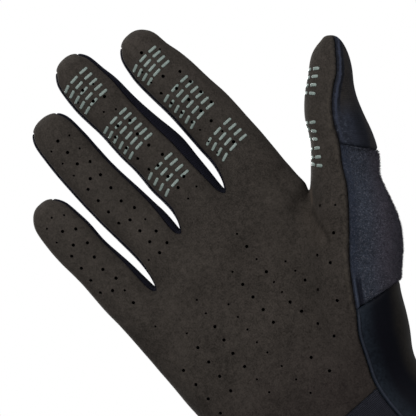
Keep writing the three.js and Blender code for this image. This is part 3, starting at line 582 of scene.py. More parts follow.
# Sewn pieces, in millimetres. roll: how far and how deep the cloth turns in at a seam, proud: how
# much it stands out, rising over proudFade from its top edge, ridge: height, place and width
hem = {"reach": 1.6, "depth": 0.45, "under": 0.35}
roundness = 0.98  # just under a full quarter round
cloths = {
    "palmSuede": {"label": palm, "slot": "microsuede", "wall": 1.2, "roll": (1.5, 0.55),
                  "ridge": (0.07, 1.8, 0.7)},
    "backKnit": {"label": back, "slot": "stretch_knit", "wall": 1.1, "roll": (1.5, 0.5)},
    "gussetPinkyRing": {"label": 2, "slot": "gusset_knit", "wall": 1.1, "roll": (1.2, 0.5)},
    "gussetRingMiddle": {"label": 3, "slot": "gusset_knit", "wall": 1.1, "roll": (1.2, 0.5)},
    "gussetMiddleIndex": {"label": 4, "slot": "gusset_knit", "wall": 1.1, "roll": (1.2, 0.5)},
    "thumbKnit": {"label": thumbBack, "slot": "thumb_knit", "wall": 1.1, "roll": (1.4, 0.55)},
    "fleecePatch": {"label": terry, "slot": "terry_fleece", "wall": 1.8, "proud": 0.5,
                    "proudFade": 7, "roll": (1.8, 0.7), "finer": 2},
    "sideSatin": {"label": side, "slot": "satin_lycra", "wall": 1.1, "roll": (1.2, 0.5)},
    "heelFabric": {"label": heel, "slot": "cuff_fabric", "wall": 1.1, "roll": (1.3, 0.5)},
}


def clothPiece(name, facts):
    chosen = labels == facts["label"]
    own = faces[chosen]
    ids = np.unique(own)
    index = np.full(len(points), -1)
    index[ids] = np.arange(len(ids))
    pairs = np.stack([own, np.roll(own, -1, 1)], 2).reshape(-1, 2)
    known = set(map(tuple, pairs.tolist()))
    rim = [(a, b) for a, b in known if (b, a) not in known]
    step = np.zeros_like(points)
    for a, b in rim:
        if points[a, 2] < 0.01 and points[b, 2] < 0.01:
            continue
        inward = np.cross(normals[a] + normals[b], points[b] - points[a])
        inward /= np.linalg.norm(inward)
        step[a] += inward
        step[b] += inward
    length = np.maximum(np.linalg.norm(step, axis=1), 1)[:, None]
    step = (step / length * skin["seamGap"] / 2)[ids]
    reach, depth = facts["roll"]
    away = np.clip(1 - fromSeam[ids] / reach, 0, 1)
    dip = depth * (1 - np.sqrt(1 - away ** 2 * roundness))
    nearMouth = np.clip(1 - points[ids, 2] / hem["reach"], 0, 1)
    dip = np.maximum(dip, hem["depth"] * (1 - np.sqrt(1 - nearMouth ** 2 * roundness)))
    proud = facts.get("proud", 0)
    if proud:
        fromTop = distances(topSeams, points[ids])
        proud = proud * np.clip(fromTop / facts["proudFade"], 0, 1)
    if "ridge" in facts:
        height, at, width = facts["ridge"]
        dip -= height * np.exp(-((distances(ridgeSeams, points[ids]) - at) / width) ** 2)
    n = normals[ids]
    outer = points[ids] + step + n * (proud - dip)[:, None]
    inner = points[ids] + n * (proud - facts["wall"] + hem["under"] * nearMouth ** 2)[:, None]
    count = len(ids)
    body = index[own]
    sheet = [*body.tolist(), *(body[:, ::-1] + count).tolist()]
    for a, b in sorted(rim):
        a, b = index[a], index[b]
        sheet.append((b, a, a + count, b + count))
    obj = newObject(name, np.vstack([outer, inner]) * mm, sheet)
    obj.data.attributes.new("cover", "FLOAT", "POINT").data.foreach_set(
        "value", np.repeat([1.0, 0.0], count))
    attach(obj, "root")
    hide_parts(nodeNames[facts["label"]])
    return obj


made = {name: clothPiece(name, facts) for name, facts in cloths.items()}
print("sewn pieces:", len(made))


def mark(obj, key, values):
    layer = obj.data.attributes.get(key) or obj.data.attributes.new(key, "FLOAT", "POINT")
    layer.data.foreach_set("value", np.asarray(values, dtype=float))


def markDistances(obj):
    spots = placesOf(obj)
    for key, tree in (("seamAway", allSeams), ("suedeAway", suedeSeams)):
        mark(obj, key, distances(tree, spots))


# Air holes of the suede, in short rows that run towards the fingertips
holes = {
    "sizes": {"L": 0.72, "s": 0.48}, "sides": 14, "above": 1.2, "depth": 3.2,
    # x of the first and last hole, z of the first, pitch, then a letter for the size of each
    "rows": {
        "palm": [
            (-39.1, -39.1, 74.8, 7.65, "LLLL"), (-29.9, -28.1, 79.1, 7.3, "LLLLs"),
            (-18.4, -19.1, 68.5, 7.15, "ssL"), (-19.2, -16.1, 89.9, 6.5, "LLLss"),
            (-5.9, -8.4, 57.3, 7.9, "ssss"), (-8.9, -7.5, 86.9, 6.4, "ssss"),
            (5.8, 3.7, 59, 8.9, "LL"), (1.5, 2.4, 88.6, 6.6, "LLLLs"),
            (16.4, 13.1, 68.5, 8, "LLL"), (12, 12.4, 90.4, 5.2, "Lss"),
            (12.8, 13.9, 106, 6.5, "LsLs"), (26.8, 23.8, 78.6, 8.3, "LL"),
            (22.5, 21.5, 93.1, 5.5, "Lss"), (34.7, 32.8, 92, 5.7, "LL"),
            (43.7, 46.9, 100.3, 11.8, "LL"), (51.7, 51.7, 108.3, 0, "s"),
            (-36, -36, 118.8, 0, "s")],
        "pinky": [
            (-44, -43, 143.9, 6.3, "LLLL"), (-44, -43.3, 171, 6.9, "ss"),
            (-39.6, -39.6, 141.3, 0, "L"), (-39.5, -38.8, 165.8, 7.1, "LLs"),
            (-36.4, -35.2, 132, 6.1, "LsL"), (-36.9, -36.2, 150.4, 6.1, "LL"),
            (-34.5, -34.3, 162.7, 7.4, "LLs")],
        "ring": [
            (-20.3, -20.3, 141, 0, "s"), (-19.7, -20.1, 160.4, 6.2, "LLLL"),
            (-20.8, -21.2, 187, 6.7, "sss"), (-15, -15.3, 140.4, 6, "LLLL"),
            (-16.5, -16.5, 181.7, 0, "L"), (-16.5, -16.4, 189.7, 6.1, "LLL"),
            (-10, -10.6, 141.5, 6.5, "LLsL"), (-12.9, -11.3, 166.6, 6.8, "LLLLss")],
        "middle": [
            (8.3, 7.9, 149.4, 6.1, "sLLL"), (14.1, 12.9, 150.9, 6.5, "sL"),
            (4, 2.3, 168.9, 6.3, "LLLL"), (12.2, 10.5, 169.9, 6.5, "LL"),
            (10, 11.3, 182.9, 6.1, "LL"), (6.1, 6.1, 190.6, 0, "L"),
            (10, 9.7, 196.2, 6.9, "sLs"), (5.5, 4.8, 198.6, 6.1, "sLL"), (0, 0, 208.3, 0, "s")],
        "index": [
            (29.6, 30.3, 155.8, 5.8, "sss"), (30, 28.1, 171.9, 5.7, "LLLL"),
            (28, 28, 195, 5.5, "ss"), (37.5, 36.2, 154.8, 6.2, "LsL"),
            (35.7, 34.2, 173, 6.7, "LLL"), (33.3, 32.9, 193.7, 13, "LL"),
            (41.3, 39.8, 173, 5.9, "LLLL"), (39.6, 39.6, 202.9, 0, "s")],
    },
}
palmFacing = Vector((0, -1, 0))


def holePlaces():
    for rows in holes["rows"].values():
        for firstX, lastX, firstZ, pitch, letters in rows:
            for n, letter in enumerate(letters):
                share = n / max(len(letters) - 1, 1)
                yield lerp(firstX, lastX, share), firstZ + n * pitch, holes["sizes"][letter]


def onSkin(x, z):
    spot, normal, _, _ = skinTree.ray_cast(Vector((x, -200, z)), Vector((0, 1, 0)))
    return spot, normal


def ringFrame(normal, along=Vector((0, 0, 1))):
    u = normal.cross(along).normalized()
    return u, u.cross(normal)


def circle(centre, u, v, radius, count):
    turns = [2 * math.pi * k / count for k in range(count)]
    return [centre + (u * math.cos(turn) + v * math.sin(turn)) * radius for turn in turns]


def band(a, b, count):  # quads between the rings of vertices that begin at a and at b
    return [(a + k, a + (k + 1) % count, b + (k + 1) % count, b + k) for k in range(count)]


def faceOut(obj, merge=0.0):
    bm = bmesh.new()
    bm.from_mesh(obj.data)
    if merge:
        bmesh.ops.remove_doubles(bm, verts=bm.verts, dist=merge)
    bmesh.ops.recalc_face_normals(bm, faces=bm.faces)
    bm.to_mesh(obj.data)
    bm.free()


def drills():
    verts, sheet = [], []
    n = holes["sides"]
    for x, z, radius in holePlaces():
        spot, normal = onSkin(x, z)
        normal = (normal + palmFacing).normalized()
        u, v = ringFrame(normal)
        base = len(verts)
        for lift in (holes["above"], -holes["depth"]):
            verts += circle(spot + normal * lift, u, v, radius, n)
        sheet += band(base + n, base, n)
        sheet.append([base + k for k in range(n)])
        sheet.append([base + n + k for k in range(n)][::-1])
    tool = newObject("drills", np.array(verts) * mm, sheet, smooth=False)
    faceOut(tool)
    return tool


def drilled(obj, tool, sharp):
    cutter = obj.modifiers.new("holes", "BOOLEAN")
    cutter.operation, cutter.object, cutter.solver = "DIFFERENCE", tool, "MANIFOLD"
    applied(obj)
    obj.data.set_sharp_from_angle(angle=math.radians(sharp))


tool = drills()
drilled(made["palmSuede"], tool, 48)
print("air holes cut:", len(made["palmSuede"].data.polygons), "faces")

# Printed silicone dashes: rows by height, columns by x at their highest and lowest row
dashes = {
    "length": 4.2, "width": 1.25, "height": 0.42, "around": 12, "across": 7,
    "flatTop": 3.2, "sunk": 0.12,  # power of the rounded top, and how deep its rim sits
    "drops": (1.55, 0.65, 0.3),  # how much lower than its row a column's dashes are
    "groups": {
        "grip_middle_tip": ([217, 214, 211, 208, 205], [(0.2, 0.9), (5, 5.2), (10.3, 10.5)]),
        "grip_middle_middle": ([194, 191.3, 188.5, 185.3, 182.4, 179.5],
                               [(1.3, 2.3), (6.3, 7.3), (11.6, 12.7)]),
        "grip_middle_base": ([168, 164.8, 161.6, 158.4], [(2.6, 3.4), (8, 8.4), (13.6, 14)]),
        "grip_index_tip": ([205.2, 202.6, 199.9, 197.2],
                           [(26.8, 27.8), (31.9, 32.3), (37.2, 37.4)]),
        "grip_index_middle": ([187.6, 184.6, 181.6, 178.6, 175.5, 172.4],
                              [(28.4, 29.4), (33.8, 34.4), (39.1, 39.8)]),
        "grip_index_base": ([163, 160, 157, 153.9], [(30, 30.7), (35.4, 36), (41, 41.6)]),
    },
    "tilts": (17, 7, 0),  # degrees that a column's left end is lower
    "thumbGroups": {  # places, then the lean of the first and of the last dash
        "grip_thumb_tip": ([(82.2, 155.2), (79.7, 153.1), (77, 150.9), (74.4, 148.6)],
                           (-0.13, -0.13)),
        "grip_thumb_base": ([(66.9, 139.6), (64.9, 136.6), (63.2, 133.8), (61.4, 130.5),
                             (59.3, 127.5), (57.4, 124.5)], (0.12, -0.12)),
    },
    "thumbLength": 3.5, "thumbWidth": 1.4, "thumbStep": 4.9,
}


def march(spot, direction, distance):
    steps = max(1, int(abs(distance) / 0.5))
    normal = skinTree.find_nearest(spot)[1]
    for _ in range(steps):
        flat = (direction - normal * direction.dot(normal)).normalized()
        spot, normal, _, _ = skinTree.find_nearest(spot + flat * distance / steps)
    return spot, normal


def dash(spot, direction, length, width, verts, sheet):
    _, normal, _, _ = skinTree.find_nearest(spot)
    direction = (direction - normal * direction.dot(normal)).normalized()
    beside = normal.cross(direction)
    count, levels = dashes["around"] * 2, dashes["across"]
    base = len(verts)
    straight = (length - width) / 2
    shares = [math.sin(k / (levels - 1) * math.pi / 2) for k in range(levels)]
    for share in shares[1:][::-1]:
        for k in range(count):
            turn = 2 * math.pi * k / count
            u = math.copysign(straight, math.cos(turn)) + width / 2 * share * math.cos(turn)
            if share < 1 and abs(math.cos(turn)) < 1e-6:
                u = 0
            v = width / 2 * share * math.sin(turn)
            out = dashes["height"] * (1 - share ** dashes["flatTop"]) ** 0.5
            if share == 1:
                out -= dashes["sunk"]
            near, up, _, _ = skinTree.find_nearest(spot + direction * u + beside * v)
            verts.append(near + up * out)
    ends = []
    for sign in (1, -1):
        near, up, _, _ = skinTree.find_nearest(spot + direction * straight * sign)
        ends.append(len(verts))
        verts.append(near + up * dashes["height"])
    rows, half, quarter = levels - 1, count // 2, count // 4
    for r in range(rows - 1):
        sheet += band(base + r * count, base + (r + 1) * count, count)
    last = base + (rows - 1) * count
    for k in range(count):
        m = (k + 1) % count
        right = math.cos(2 * math.pi * (k + 0.5) / count) > 0
        sheet.append((last + k, last + m, ends[0] if right else ends[1]))
    sheet.append((last + quarter, ends[1], ends[0]))
    sheet.append((last + quarter + half, ends[0], ends[1]))
    sheet.append([base + k for k in range(count)][::-1])


def gripPiece(node, items):
    verts, sheet = [], []
    for spot, direction, length, width in items:
        dash(spot, direction, length, width, verts, sheet)
    obj = newObject(node.replace("grip_", "dashes_"), np.array(verts) * mm, sheet)
    faceOut(obj, 0.00001)
    drilled(obj, tool, 60)
    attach(obj, "root")
    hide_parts(node)
    return obj


for node, (rowHeights, columns) in dashes["groups"].items():
    items = []
    for r, z in enumerate(rowHeights):
        for (xTop, xLow), tilt, drop in zip(columns, dashes["tilts"], dashes["drops"]):
            spot, _ = onSkin(lerp(xTop, xLow, r / (len(rowHeights) - 1)), z - drop)
            lean = math.radians(tilt)
            items.append((spot, Vector((math.cos(lean), 0, math.sin(lean))),
                          dashes["length"], dashes["width"]))
    made[node] = gripPiece(node, items)
for node, (spots, leans) in dashes["thumbGroups"].items():
    items = []
    for n, (x, z) in enumerate(spots):
        way = (thumbAcross + thumbAxis * lerp(*leans, n / (len(spots) - 1))).normalized()
        spot, _ = onSkin(x, z)
        items.append((spot, way, dashes["thumbLength"], dashes["thumbWidth"]))
        beyond, _ = march(spot, -way, dashes["thumbStep"])
        items.append((beyond, way, dashes["thumbLength"], dashes["thumbWidth"]))
    made[node] = gripPiece(node, items)
bpy.data.objects.remove(tool)
print("grips:", len(dashes["groups"]) + len(dashes["thumbGroups"]))

# Fleece: finer skin with tufts, then short fibres
fleece = {
    "tuft": 0.9, "tuftHeight": 0.2, "smallTuft": (0.45, 0.6), "swell": (4.5, 0.22),
    "wrinkle": (0.5, 0.9, 1.3),  # height, and how close in x and z
    "flatAt": (1.2, 0.15),  # distance from a seam where the tufts shrink, and their least share
    "fibres": 30000, "length": (0.5, 1.05), "width": 0.1, "rooted": 0.1,
    "lean": Vector((0.45, 0, -0.5)), "leanShare": 0.55, "jitter": 0.42, "bend": (0.1, 0.5),
    "middle": 0.55, "middleWidth": 0.8, "middleBend": 0.25, "end": 0.9,
    "turnedHeight": 13.0, "turnedFade": 7.0,  # bare bead and groove above its lower left corner
    "beadAt": (1.1, 0.5, 0.4), "grooveAt": (2.5, 0.85, 0.75),  # distance, width and height
    "bare": (1.4, 3.4), "bareTufts": 0.85, "bareFibres": 1.3,  # where the turned edge has no pile
    "topHeight": 4.0,  # wrinkled band below its top edge
}


def tuftHeight(p):
    size, share = fleece["smallTuft"]
    cell = noise.noise(p / fleece["tuft"]) + share * noise.noise(p / (fleece["tuft"] * size))
    width, height = fleece["swell"]
    return fleece["tuftHeight"] * cell + height * noise.noise(p / width)


patch = made["fleecePatch"]
finer = patch.modifiers.new("finer", "SUBSURF")
finer.levels = finer.render_levels = cloths["fleecePatch"]["finer"]
finer.boundary_smooth = "ALL"
applied(patch)
patchMesh = patch.data
spots = placesOf(patch)
patchNormals = numbers(patchMesh.vertices, "normal", 3)
cover = numbers(patchMesh.attributes["cover"].data, "value")
patchAway = distances(allSeams, spots)
suedeAway = distances(suedeSeams, spots)
cornerZ = spots[suedeAway < 1.0, 2].min()


def turnedShare(spots):
    share = np.clip((cornerZ + fleece["turnedHeight"] - spots[:, 2]) / fleece["turnedFade"], 0, 1)
    return share * share * (3 - 2 * share)


def bell(distance, shape):
    at, width = shape[:2]
    return np.exp(-((distance - at) / width) ** 2)


turnedEdge = turnedShare(spots)
topAway = distances(topSeams, spots)
bare = turnedEdge * np.clip(fleece["bare"][0] - suedeAway / fleece["bare"][1], 0, 1)
lift = np.array([tuftHeight(Vector(p)) for p in spots])
wrinkle, closeX, closeZ = fleece["wrinkle"]
wrinkles = np.array([noise.noise(Vector((p[0] * closeX, p[1], p[2] * closeZ))) for p in spots])
lift += wrinkle * wrinkles * np.clip(1 - topAway / fleece["topHeight"], 0, 1)
flatWidth, flatShare = fleece["flatAt"]
lift *= np.clip(cover, 0, 1) * np.clip(patchAway / flatWidth, flatShare, 1)
lift *= 1 - fleece["bareTufts"] * bare
lift += cover * turnedEdge * (fleece["beadAt"][2] * bell(suedeAway, fleece["beadAt"])
                              - fleece["grooveAt"][2] * bell(suedeAway, fleece["grooveAt"]))
patchMesh.vertices.foreach_set("co", ((spots + patchNormals * lift[:, None]) * mm).ravel())
patchMesh.update()

rng = np.random.default_rng(11)
spots = numbers(patchMesh.vertices, "co", 3)
patchFaces = [p for p in patchMesh.polygons if cover[list(p.vertices)].min() > 0.99]
areas = [p.area * (1 - min(1, fleece["bareFibres"] * bare[p.vertices[0]])) for p in patchFaces]
areas = np.array(areas)
picks = rng.choice(len(patchFaces), fleece["fibres"], p=areas / areas.sum())
fibreVerts, fibreFaces, fibreTone = [], [], []
for pick in picks:
    face = patchFaces[pick]
    corners = spots[list(face.vertices)]
    s, t = rng.random(2)
    root = (corners[0] * (1 - s) + corners[1] * s) * (1 - t) + (
        corners[3] * (1 - s) + corners[2] * s) * t
    normal = np.array(face.normal)
    jitter = rng.normal(0, fleece["jitter"], 3)
    way = normal + np.array(fleece["lean"]) * fleece["leanShare"] + jitter
    way /= np.linalg.norm(way)
    length = rng.uniform(*fleece["length"]) * mm
    across = np.cross(way, rng.normal(0, 1, 3))
    across *= fleece["width"] * mm / 2 / max(np.linalg.norm(across), 1e-9)
    bend = np.array(fleece["lean"]) * length * rng.uniform(*fleece["bend"])
    base = len(fibreVerts)
    mid = root + way * length * fleece["middle"] + bend * fleece["middleBend"]
    tip = root + way * length * fleece["end"] + bend
    root = root - normal * fleece["rooted"] * mm
    narrow = across * fleece["middleWidth"]
    fibreVerts += [root - across, root + across, mid + narrow, mid - narrow, tip]
    fibreFaces += [(base, base + 1, base + 2, base + 3), (base + 3, base + 2, base + 4)]
    fibreTone += [rng.uniform(0, 1)] * 5
pile = newObject("fleecePile", fibreVerts, fibreFaces)
mark(pile, "tone", fibreTone)
for obj in (patch, pile):
    mark(obj, "turned", turnedShare(placesOf(obj)))
    mark(obj, "topAway", distances(topSeams, placesOf(obj)))
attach(pile, "root")
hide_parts("terry_patch")
made["fleecePile"] = pile
print("fleece fibres:", len(picks))

# Turned bead of the side panel along the suede's seam; its lighter navy is partly the bead's own
# colour and partly a painted highlight of the turned fold
bead = {"radius": 0.55, "inset": 0.95, "lift": -0.1, "sides": 10,
        "least": 0.25, "taper": 3}  # share of the radius at its ends, and points to the full size


def seamChain(wanted):
    links = {}
    for pair, (a, b) in zip(seamPairs.tolist(), seamEnds.tolist()):
        if tuple(pair) in wanted:
            links.setdefault(a, []).append(b)
            links.setdefault(b, []).append(a)
    start = min((a for a in links if len(links[a]) == 1), key=lambda a: points[a, 2])
    chain, before = [start], None
    while True:
        onward = [b for b in links[chain[-1]] if b != before]
        if not onward or (len(chain) > 1 and onward[0] == start):
            return chain
        before = chain[-1]
        chain.append(onward[0])


def tube(name, path, radius, sides, node):
    verts, sheet = [], []
    count = len(path)
    for n, spot in enumerate(path):
        ahead = path[min(n + 1, count - 1)] - path[max(n - 1, 0)]
        normal = skinTree.find_nearest(spot)[1]
        u = ahead.cross(normal).normalized()
        v = u.cross(ahead).normalized()
        fromEnd = min(n, count - 1 - n)
        size = radius * min(1, bead["least"] + fromEnd / bead["taper"])
        verts += circle(spot, u, v, size, sides)
    for n in range(count - 1):
        sheet += band(n * sides, (n + 1) * sides, sides)
    sheet.append(list(range(sides))[::-1])
    sheet.append([(count - 1) * sides + k for k in range(sides)])
    obj = newObject(name, np.array(verts) * mm, sheet)
    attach(obj, "root")
    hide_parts(node)
    return obj


chain = seamChain({(palm, side), (side, heel)})
path = []
for n, i in enumerate(chain):
    p = Vector(points[i])
    ahead = Vector(points[chain[min(n + 1, len(chain) - 1)]] - points[chain[max(n - 1, 0)]])
    normal = Vector(normals[i])
    inward = normal.cross(ahead).normalized()
    if inward.x < 0:
        inward = -inward
    path.append(p + inward * bead["inset"] + normal * bead["lift"])
made["sideBead"] = tube("sideBead", path, bead["radius"], bead["sides"],
                        "side_panel")
print("bead:", len(path), "points")


# Materials
def newGroup(name, inputs, outputs):
    group = bpy.data.node_groups.new(name, "ShaderNodeTree")
    for socket, kind, value in inputs:
        entry = group.interface.new_socket(socket, in_out="INPUT", socket_type="NodeSocket" + kind)
        entry.default_value = value
    for socket, kind in outputs:
        group.interface.new_socket(socket, in_out="OUTPUT", socket_type="NodeSocket" + kind)
    nodes, links = group.nodes, group.links
    return group, nodes.new("NodeGroupInput"), nodes.new("NodeGroupOutput"), links


def feed(tree, socket, value):  # links an output of another node, or sets the value
    if hasattr(value, "is_output"):
        tree.links.new(value, socket)
    else:
        socket.default_value = value


def mathNode(tree, operation, a, b=0.0, clamp=False):
    node = tree.nodes.new("ShaderNodeMath")
    node.operation, node.use_clamp = operation, clamp
    feed(tree, node.inputs[0], a)
    feed(tree, node.inputs[1], b)
    return node.outputs[0]


def mixColour(tree, factor, a, b):
    node = tree.nodes.new("ShaderNodeMix")
    node.data_type = "RGBA"
    for n, value in ((0, factor), (6, a), (7, b)):
        feed(tree, node.inputs[n], value)
    return node.outputs[2]


def remap(tree, value, low, high, toLow=0.0, toHigh=1.0, smooth=True):
    node = tree.nodes.new("ShaderNodeMapRange")
    node.interpolation_type = "SMOOTHSTEP" if smooth else "LINEAR"
    tree.links.new(value, node.inputs[0])
    for socket, number in zip(node.inputs[1:5], (low, high, toLow, toHigh)):
        socket.default_value = number
    return node.outputs[0]


def objectCoords(tree):
    return tree.nodes.new("ShaderNodeTexCoord").outputs["Object"]


def noiseNode(tree, scale, detail=2.0, rough=0.5):
    node = tree.nodes.new("ShaderNodeTexNoise")
    feed(tree, node.inputs["Vector"], objectCoords(tree))
    feed(tree, node.inputs["Scale"], scale)
    feed(tree, node.inputs["Detail"], detail)
    feed(tree, node.inputs["Roughness"], rough)
    return node.outputs["Fac"]


def times(tree, a, b):
    return mathNode(tree, "MULTIPLY", a, b)


def between(tree, value, rise, fall):  # 1 between the two slopes, 0 outside them
    return times(tree, remap(tree, value, *rise), remap(tree, value, *fall))


def napGroup():
    group, gin, gout, links = newGroup(
        "napMottle",
        [("Dark", "Color", (0, 0, 0, 1)), ("Light", "Color", (1, 1, 1, 1)),
         ("Grain", "Float", 1500.0), ("Contrast", "Float", 1.0)],
        [("Color", "Color"), ("Height", "Float")])
    fineGrain = noiseNode(group, gin.outputs["Grain"], 3, 0.6)
    blotch = noiseNode(group, times(group, gin.outputs["Grain"], 0.3), 2)
    wide = noiseNode(group, times(group, gin.outputs["Grain"], 0.035), 3)
    total = mathNode(group, "ADD", times(group, fineGrain, 0.5), times(group, blotch, 0.25))
    total = mathNode(group, "ADD", total, times(group, wide, 0.25))
    centred = mathNode(group, "SUBTRACT", total, 0.5)
    strong = times(group, centred, gin.outputs["Contrast"])
    share = mathNode(group, "ADD", times(group, strong, 3.0), 0.5, clamp=True)
    links.new(mixColour(group, share, gin.outputs["Dark"], gin.outputs["Light"]), gout.inputs[0])
    links.new(mathNode(group, "ADD", fineGrain, times(group, blotch, 0.6)), gout.inputs[1])
    return group


def seamGroup():
    group, gin, gout, links = newGroup(
        "seamShade",
        [("Color", "Color", (1, 1, 1, 1)), ("Away", "Float", 10.0), ("Reach", "Float", 1.2),
         ("Dark", "Float", 0.5)],
        [("Color", "Color")])
    uneven = mathNode(group, "SUBTRACT", noiseNode(group, 900.0, 2), 0.5)
    near = mathNode(group, "ADD", gin.outputs["Away"], times(group, uneven, 1.1))
    share = mathNode(group, "DIVIDE", near, gin.outputs["Reach"], clamp=True)
    kept = mathNode(group, "SUBTRACT", 1.0, share)
    factor = times(group, times(group, kept, kept), gin.outputs["Dark"])
    links.new(mixColour(group, factor, gin.outputs["Color"], (0.001, 0.001, 0.0015, 1)),
              gout.inputs[0])
    return group


def wave(tree, value):  # one hump for each whole step of the value
    return mathNode(tree, "ABSOLUTE", mathNode(tree, "SINE", times(tree, value, math.pi)))


def knitGroup():
    group, gin, gout, links = newGroup(
        "knitLoops",
        [("Rows", "Float", 1250.0), ("Columns", "Float", 1500.0), ("Turn", "Float", 0.0)],
        [("Height", "Float"), ("Mask", "Float")])
    turn = group.nodes.new("ShaderNodeVectorRotate")
    turn.rotation_type = "Y_AXIS"
    links.new(objectCoords(group), turn.inputs["Vector"])
    links.new(gin.outputs["Turn"], turn.inputs["Angle"])
    split = group.nodes.new("ShaderNodeSeparateXYZ")
    links.new(turn.outputs[0], split.inputs[0])
    wobble = times(group, noiseNode(group, 220.0, 2), 1.6)
    across = mathNode(group, "ADD", split.outputs[0], times(group, split.outputs[1], 0.9))
    columns = times(group, across, gin.outputs["Columns"])
    columnWave = wave(group, mathNode(group, "ADD", columns, wobble))
    rowsAt = times(group, split.outputs[2], gin.outputs["Rows"])
    slanted = mathNode(group, "ADD", rowsAt, times(group, columnWave, 0.45))
    rowWave = wave(group, mathNode(group, "ADD", slanted, wobble))
    height = times(group, rowWave, columnWave)
    links.new(height, gout.inputs[0])
    links.new(remap(group, height, 0.1, 0.75), gout.inputs[1])
    return group


napMottle, seamShade, knitLoops = napGroup(), seamGroup(), knitGroup()


def colour(red, green, blue):  # from display values of 0 to 255
    def straight(c):
        c /= 255
        return c / 12.92 if c <= 0.04045 else ((c + 0.055) / 1.055) ** 2.4
    return (straight(red), straight(green), straight(blue), 1)


def newMaterial(name, roughness, sheen=0.0, sheenTint=(1, 1, 1, 1), specular=0.3):
    mat = bpy.data.materials.new(name)
    mat.use_nodes = True
    tree = mat.node_tree
    shader = tree.nodes["Principled BSDF"]
    shader.inputs["Roughness"].default_value = roughness
    shader.inputs["Specular IOR Level"].default_value = specular
    shader.inputs["Sheen Weight"].default_value = sheen
    shader.inputs["Sheen Roughness"].default_value = 0.5
    shader.inputs["Sheen Tint"].default_value = sheenTint
    return mat, tree, shader


def place(tree, group, **values):
    node = tree.nodes.new("ShaderNodeGroup")
    node.node_tree = group
    for key, value in values.items():
        feed(tree, node.inputs[key], value)
    return node


def mottle(tree, dark, light, grain, contrast):
    return place(tree, napMottle, Dark=colour(*dark), Light=colour(*light), Grain=grain,
                 Contrast=contrast)


def attribute(tree, name):
    node = tree.nodes.new("ShaderNodeAttribute")
    node.attribute_name = name
    return node.outputs["Fac"]


def seamed(tree, shader, tone, reach, dark):
    shaded = place(tree, seamShade, Color=tone, Away=attribute(tree, "seamAway"), Reach=reach,
                   Dark=dark)
    tree.links.new(shaded.outputs[0], shader.inputs["Base Color"])


def bump(tree, shader, height, distance, strength=1.0):
    node = tree.nodes.new("ShaderNodeBump")
    node.inputs["Strength"].default_value = strength
    node.inputs["Distance"].default_value = distance * mm
    tree.links.new(height, node.inputs["Height"])
    tree.links.new(node.outputs[0], shader.inputs["Normal"])


def suedeMaterial():
    mat, tree, shader = newMaterial("microsuede", 0.95, 0.03, (0.8, 0.75, 0.7, 1), 0.08)
    nap = mottle(tree, (32, 29, 26), (59, 54, 50), 1500.0, 1.35)
    ridge = attribute(tree, "ridgeAway")
    # painted highlight: a lighter band along the ridge beside the thumb's seam, broken into
    # patches
    ridgeHighlight = between(tree, ridge, (0.9, 1.6), (2.9, 2.0))
    patches = remap(tree, noiseNode(tree, 600.0, 2), 0.4, 0.62, 0.0, 0.26)
    height = tree.nodes.new("ShaderNodeSeparateXYZ")
    tree.links.new(objectCoords(tree), height.inputs[0])
    # painted shade: darker towards the cuff; painted light: lighter on the fingers, as the lamps
    # fall along the glove
    tone = mixColour(tree, remap(tree, height.outputs[2], 0.095, 0.045, 0.0, 0.34),
                     nap.outputs["Color"], colour(28, 21, 23))
    tone = mixColour(tree, remap(tree, height.outputs[2], 0.11, 0.17, 0.0, 0.09), tone,
                     colour(88, 83, 78))
    # painted highlight on the ridge
    tone = mixColour(tree, times(tree, ridgeHighlight, patches), tone, colour(78, 72, 64))
    # painted highlight on the light line at the thumb's crotch, plus painted light brightening the
    # shaded hollow beside the crease
    tone = mixColour(tree, times(tree, attribute(tree, "glint"), 0.4), tone, colour(92, 80, 70))
    # painted shade along the crease at the thumb's crotch
    tone = mixColour(tree, times(tree, attribute(tree, "creaseShade"), 0.6), tone, colour(16, 13, 11))
    shaded = place(tree, seamShade, Color=tone, Away=attribute(tree, "seamAway"),
                   Reach=1.3, Dark=0.8)
    shaded = place(tree, seamShade, Color=shaded.outputs[0], Away=ridge, Reach=1.3, Dark=1.0)
    tree.links.new(shaded.outputs[0], shader.inputs["Base Color"])
    bump(tree, shader, nap.outputs["Height"], 0.14, 0.8)
    return mat


def knitMaterial(name, dark, light, rows, columns, roughness, sheen):
    mat, tree, shader = newMaterial(name, roughness, sheen, (0.5, 0.6, 0.9, 1), 0.08)
    loops = place(tree, knitLoops, Rows=rows, Columns=columns)
    nap = mottle(tree, dark, light, 900.0, 0.8)
    # painted shade: near-black in the hollows between the knit's loops
    hollowShaded = mixColour(tree, loops.outputs["Mask"], colour(8, 9, 13), nap.outputs["Color"])
    seamed(tree, shader, hollowShaded, 1.2, 0.7)
    bump(tree, shader, loops.outputs["Height"], 0.15, 0.8)
    return mat


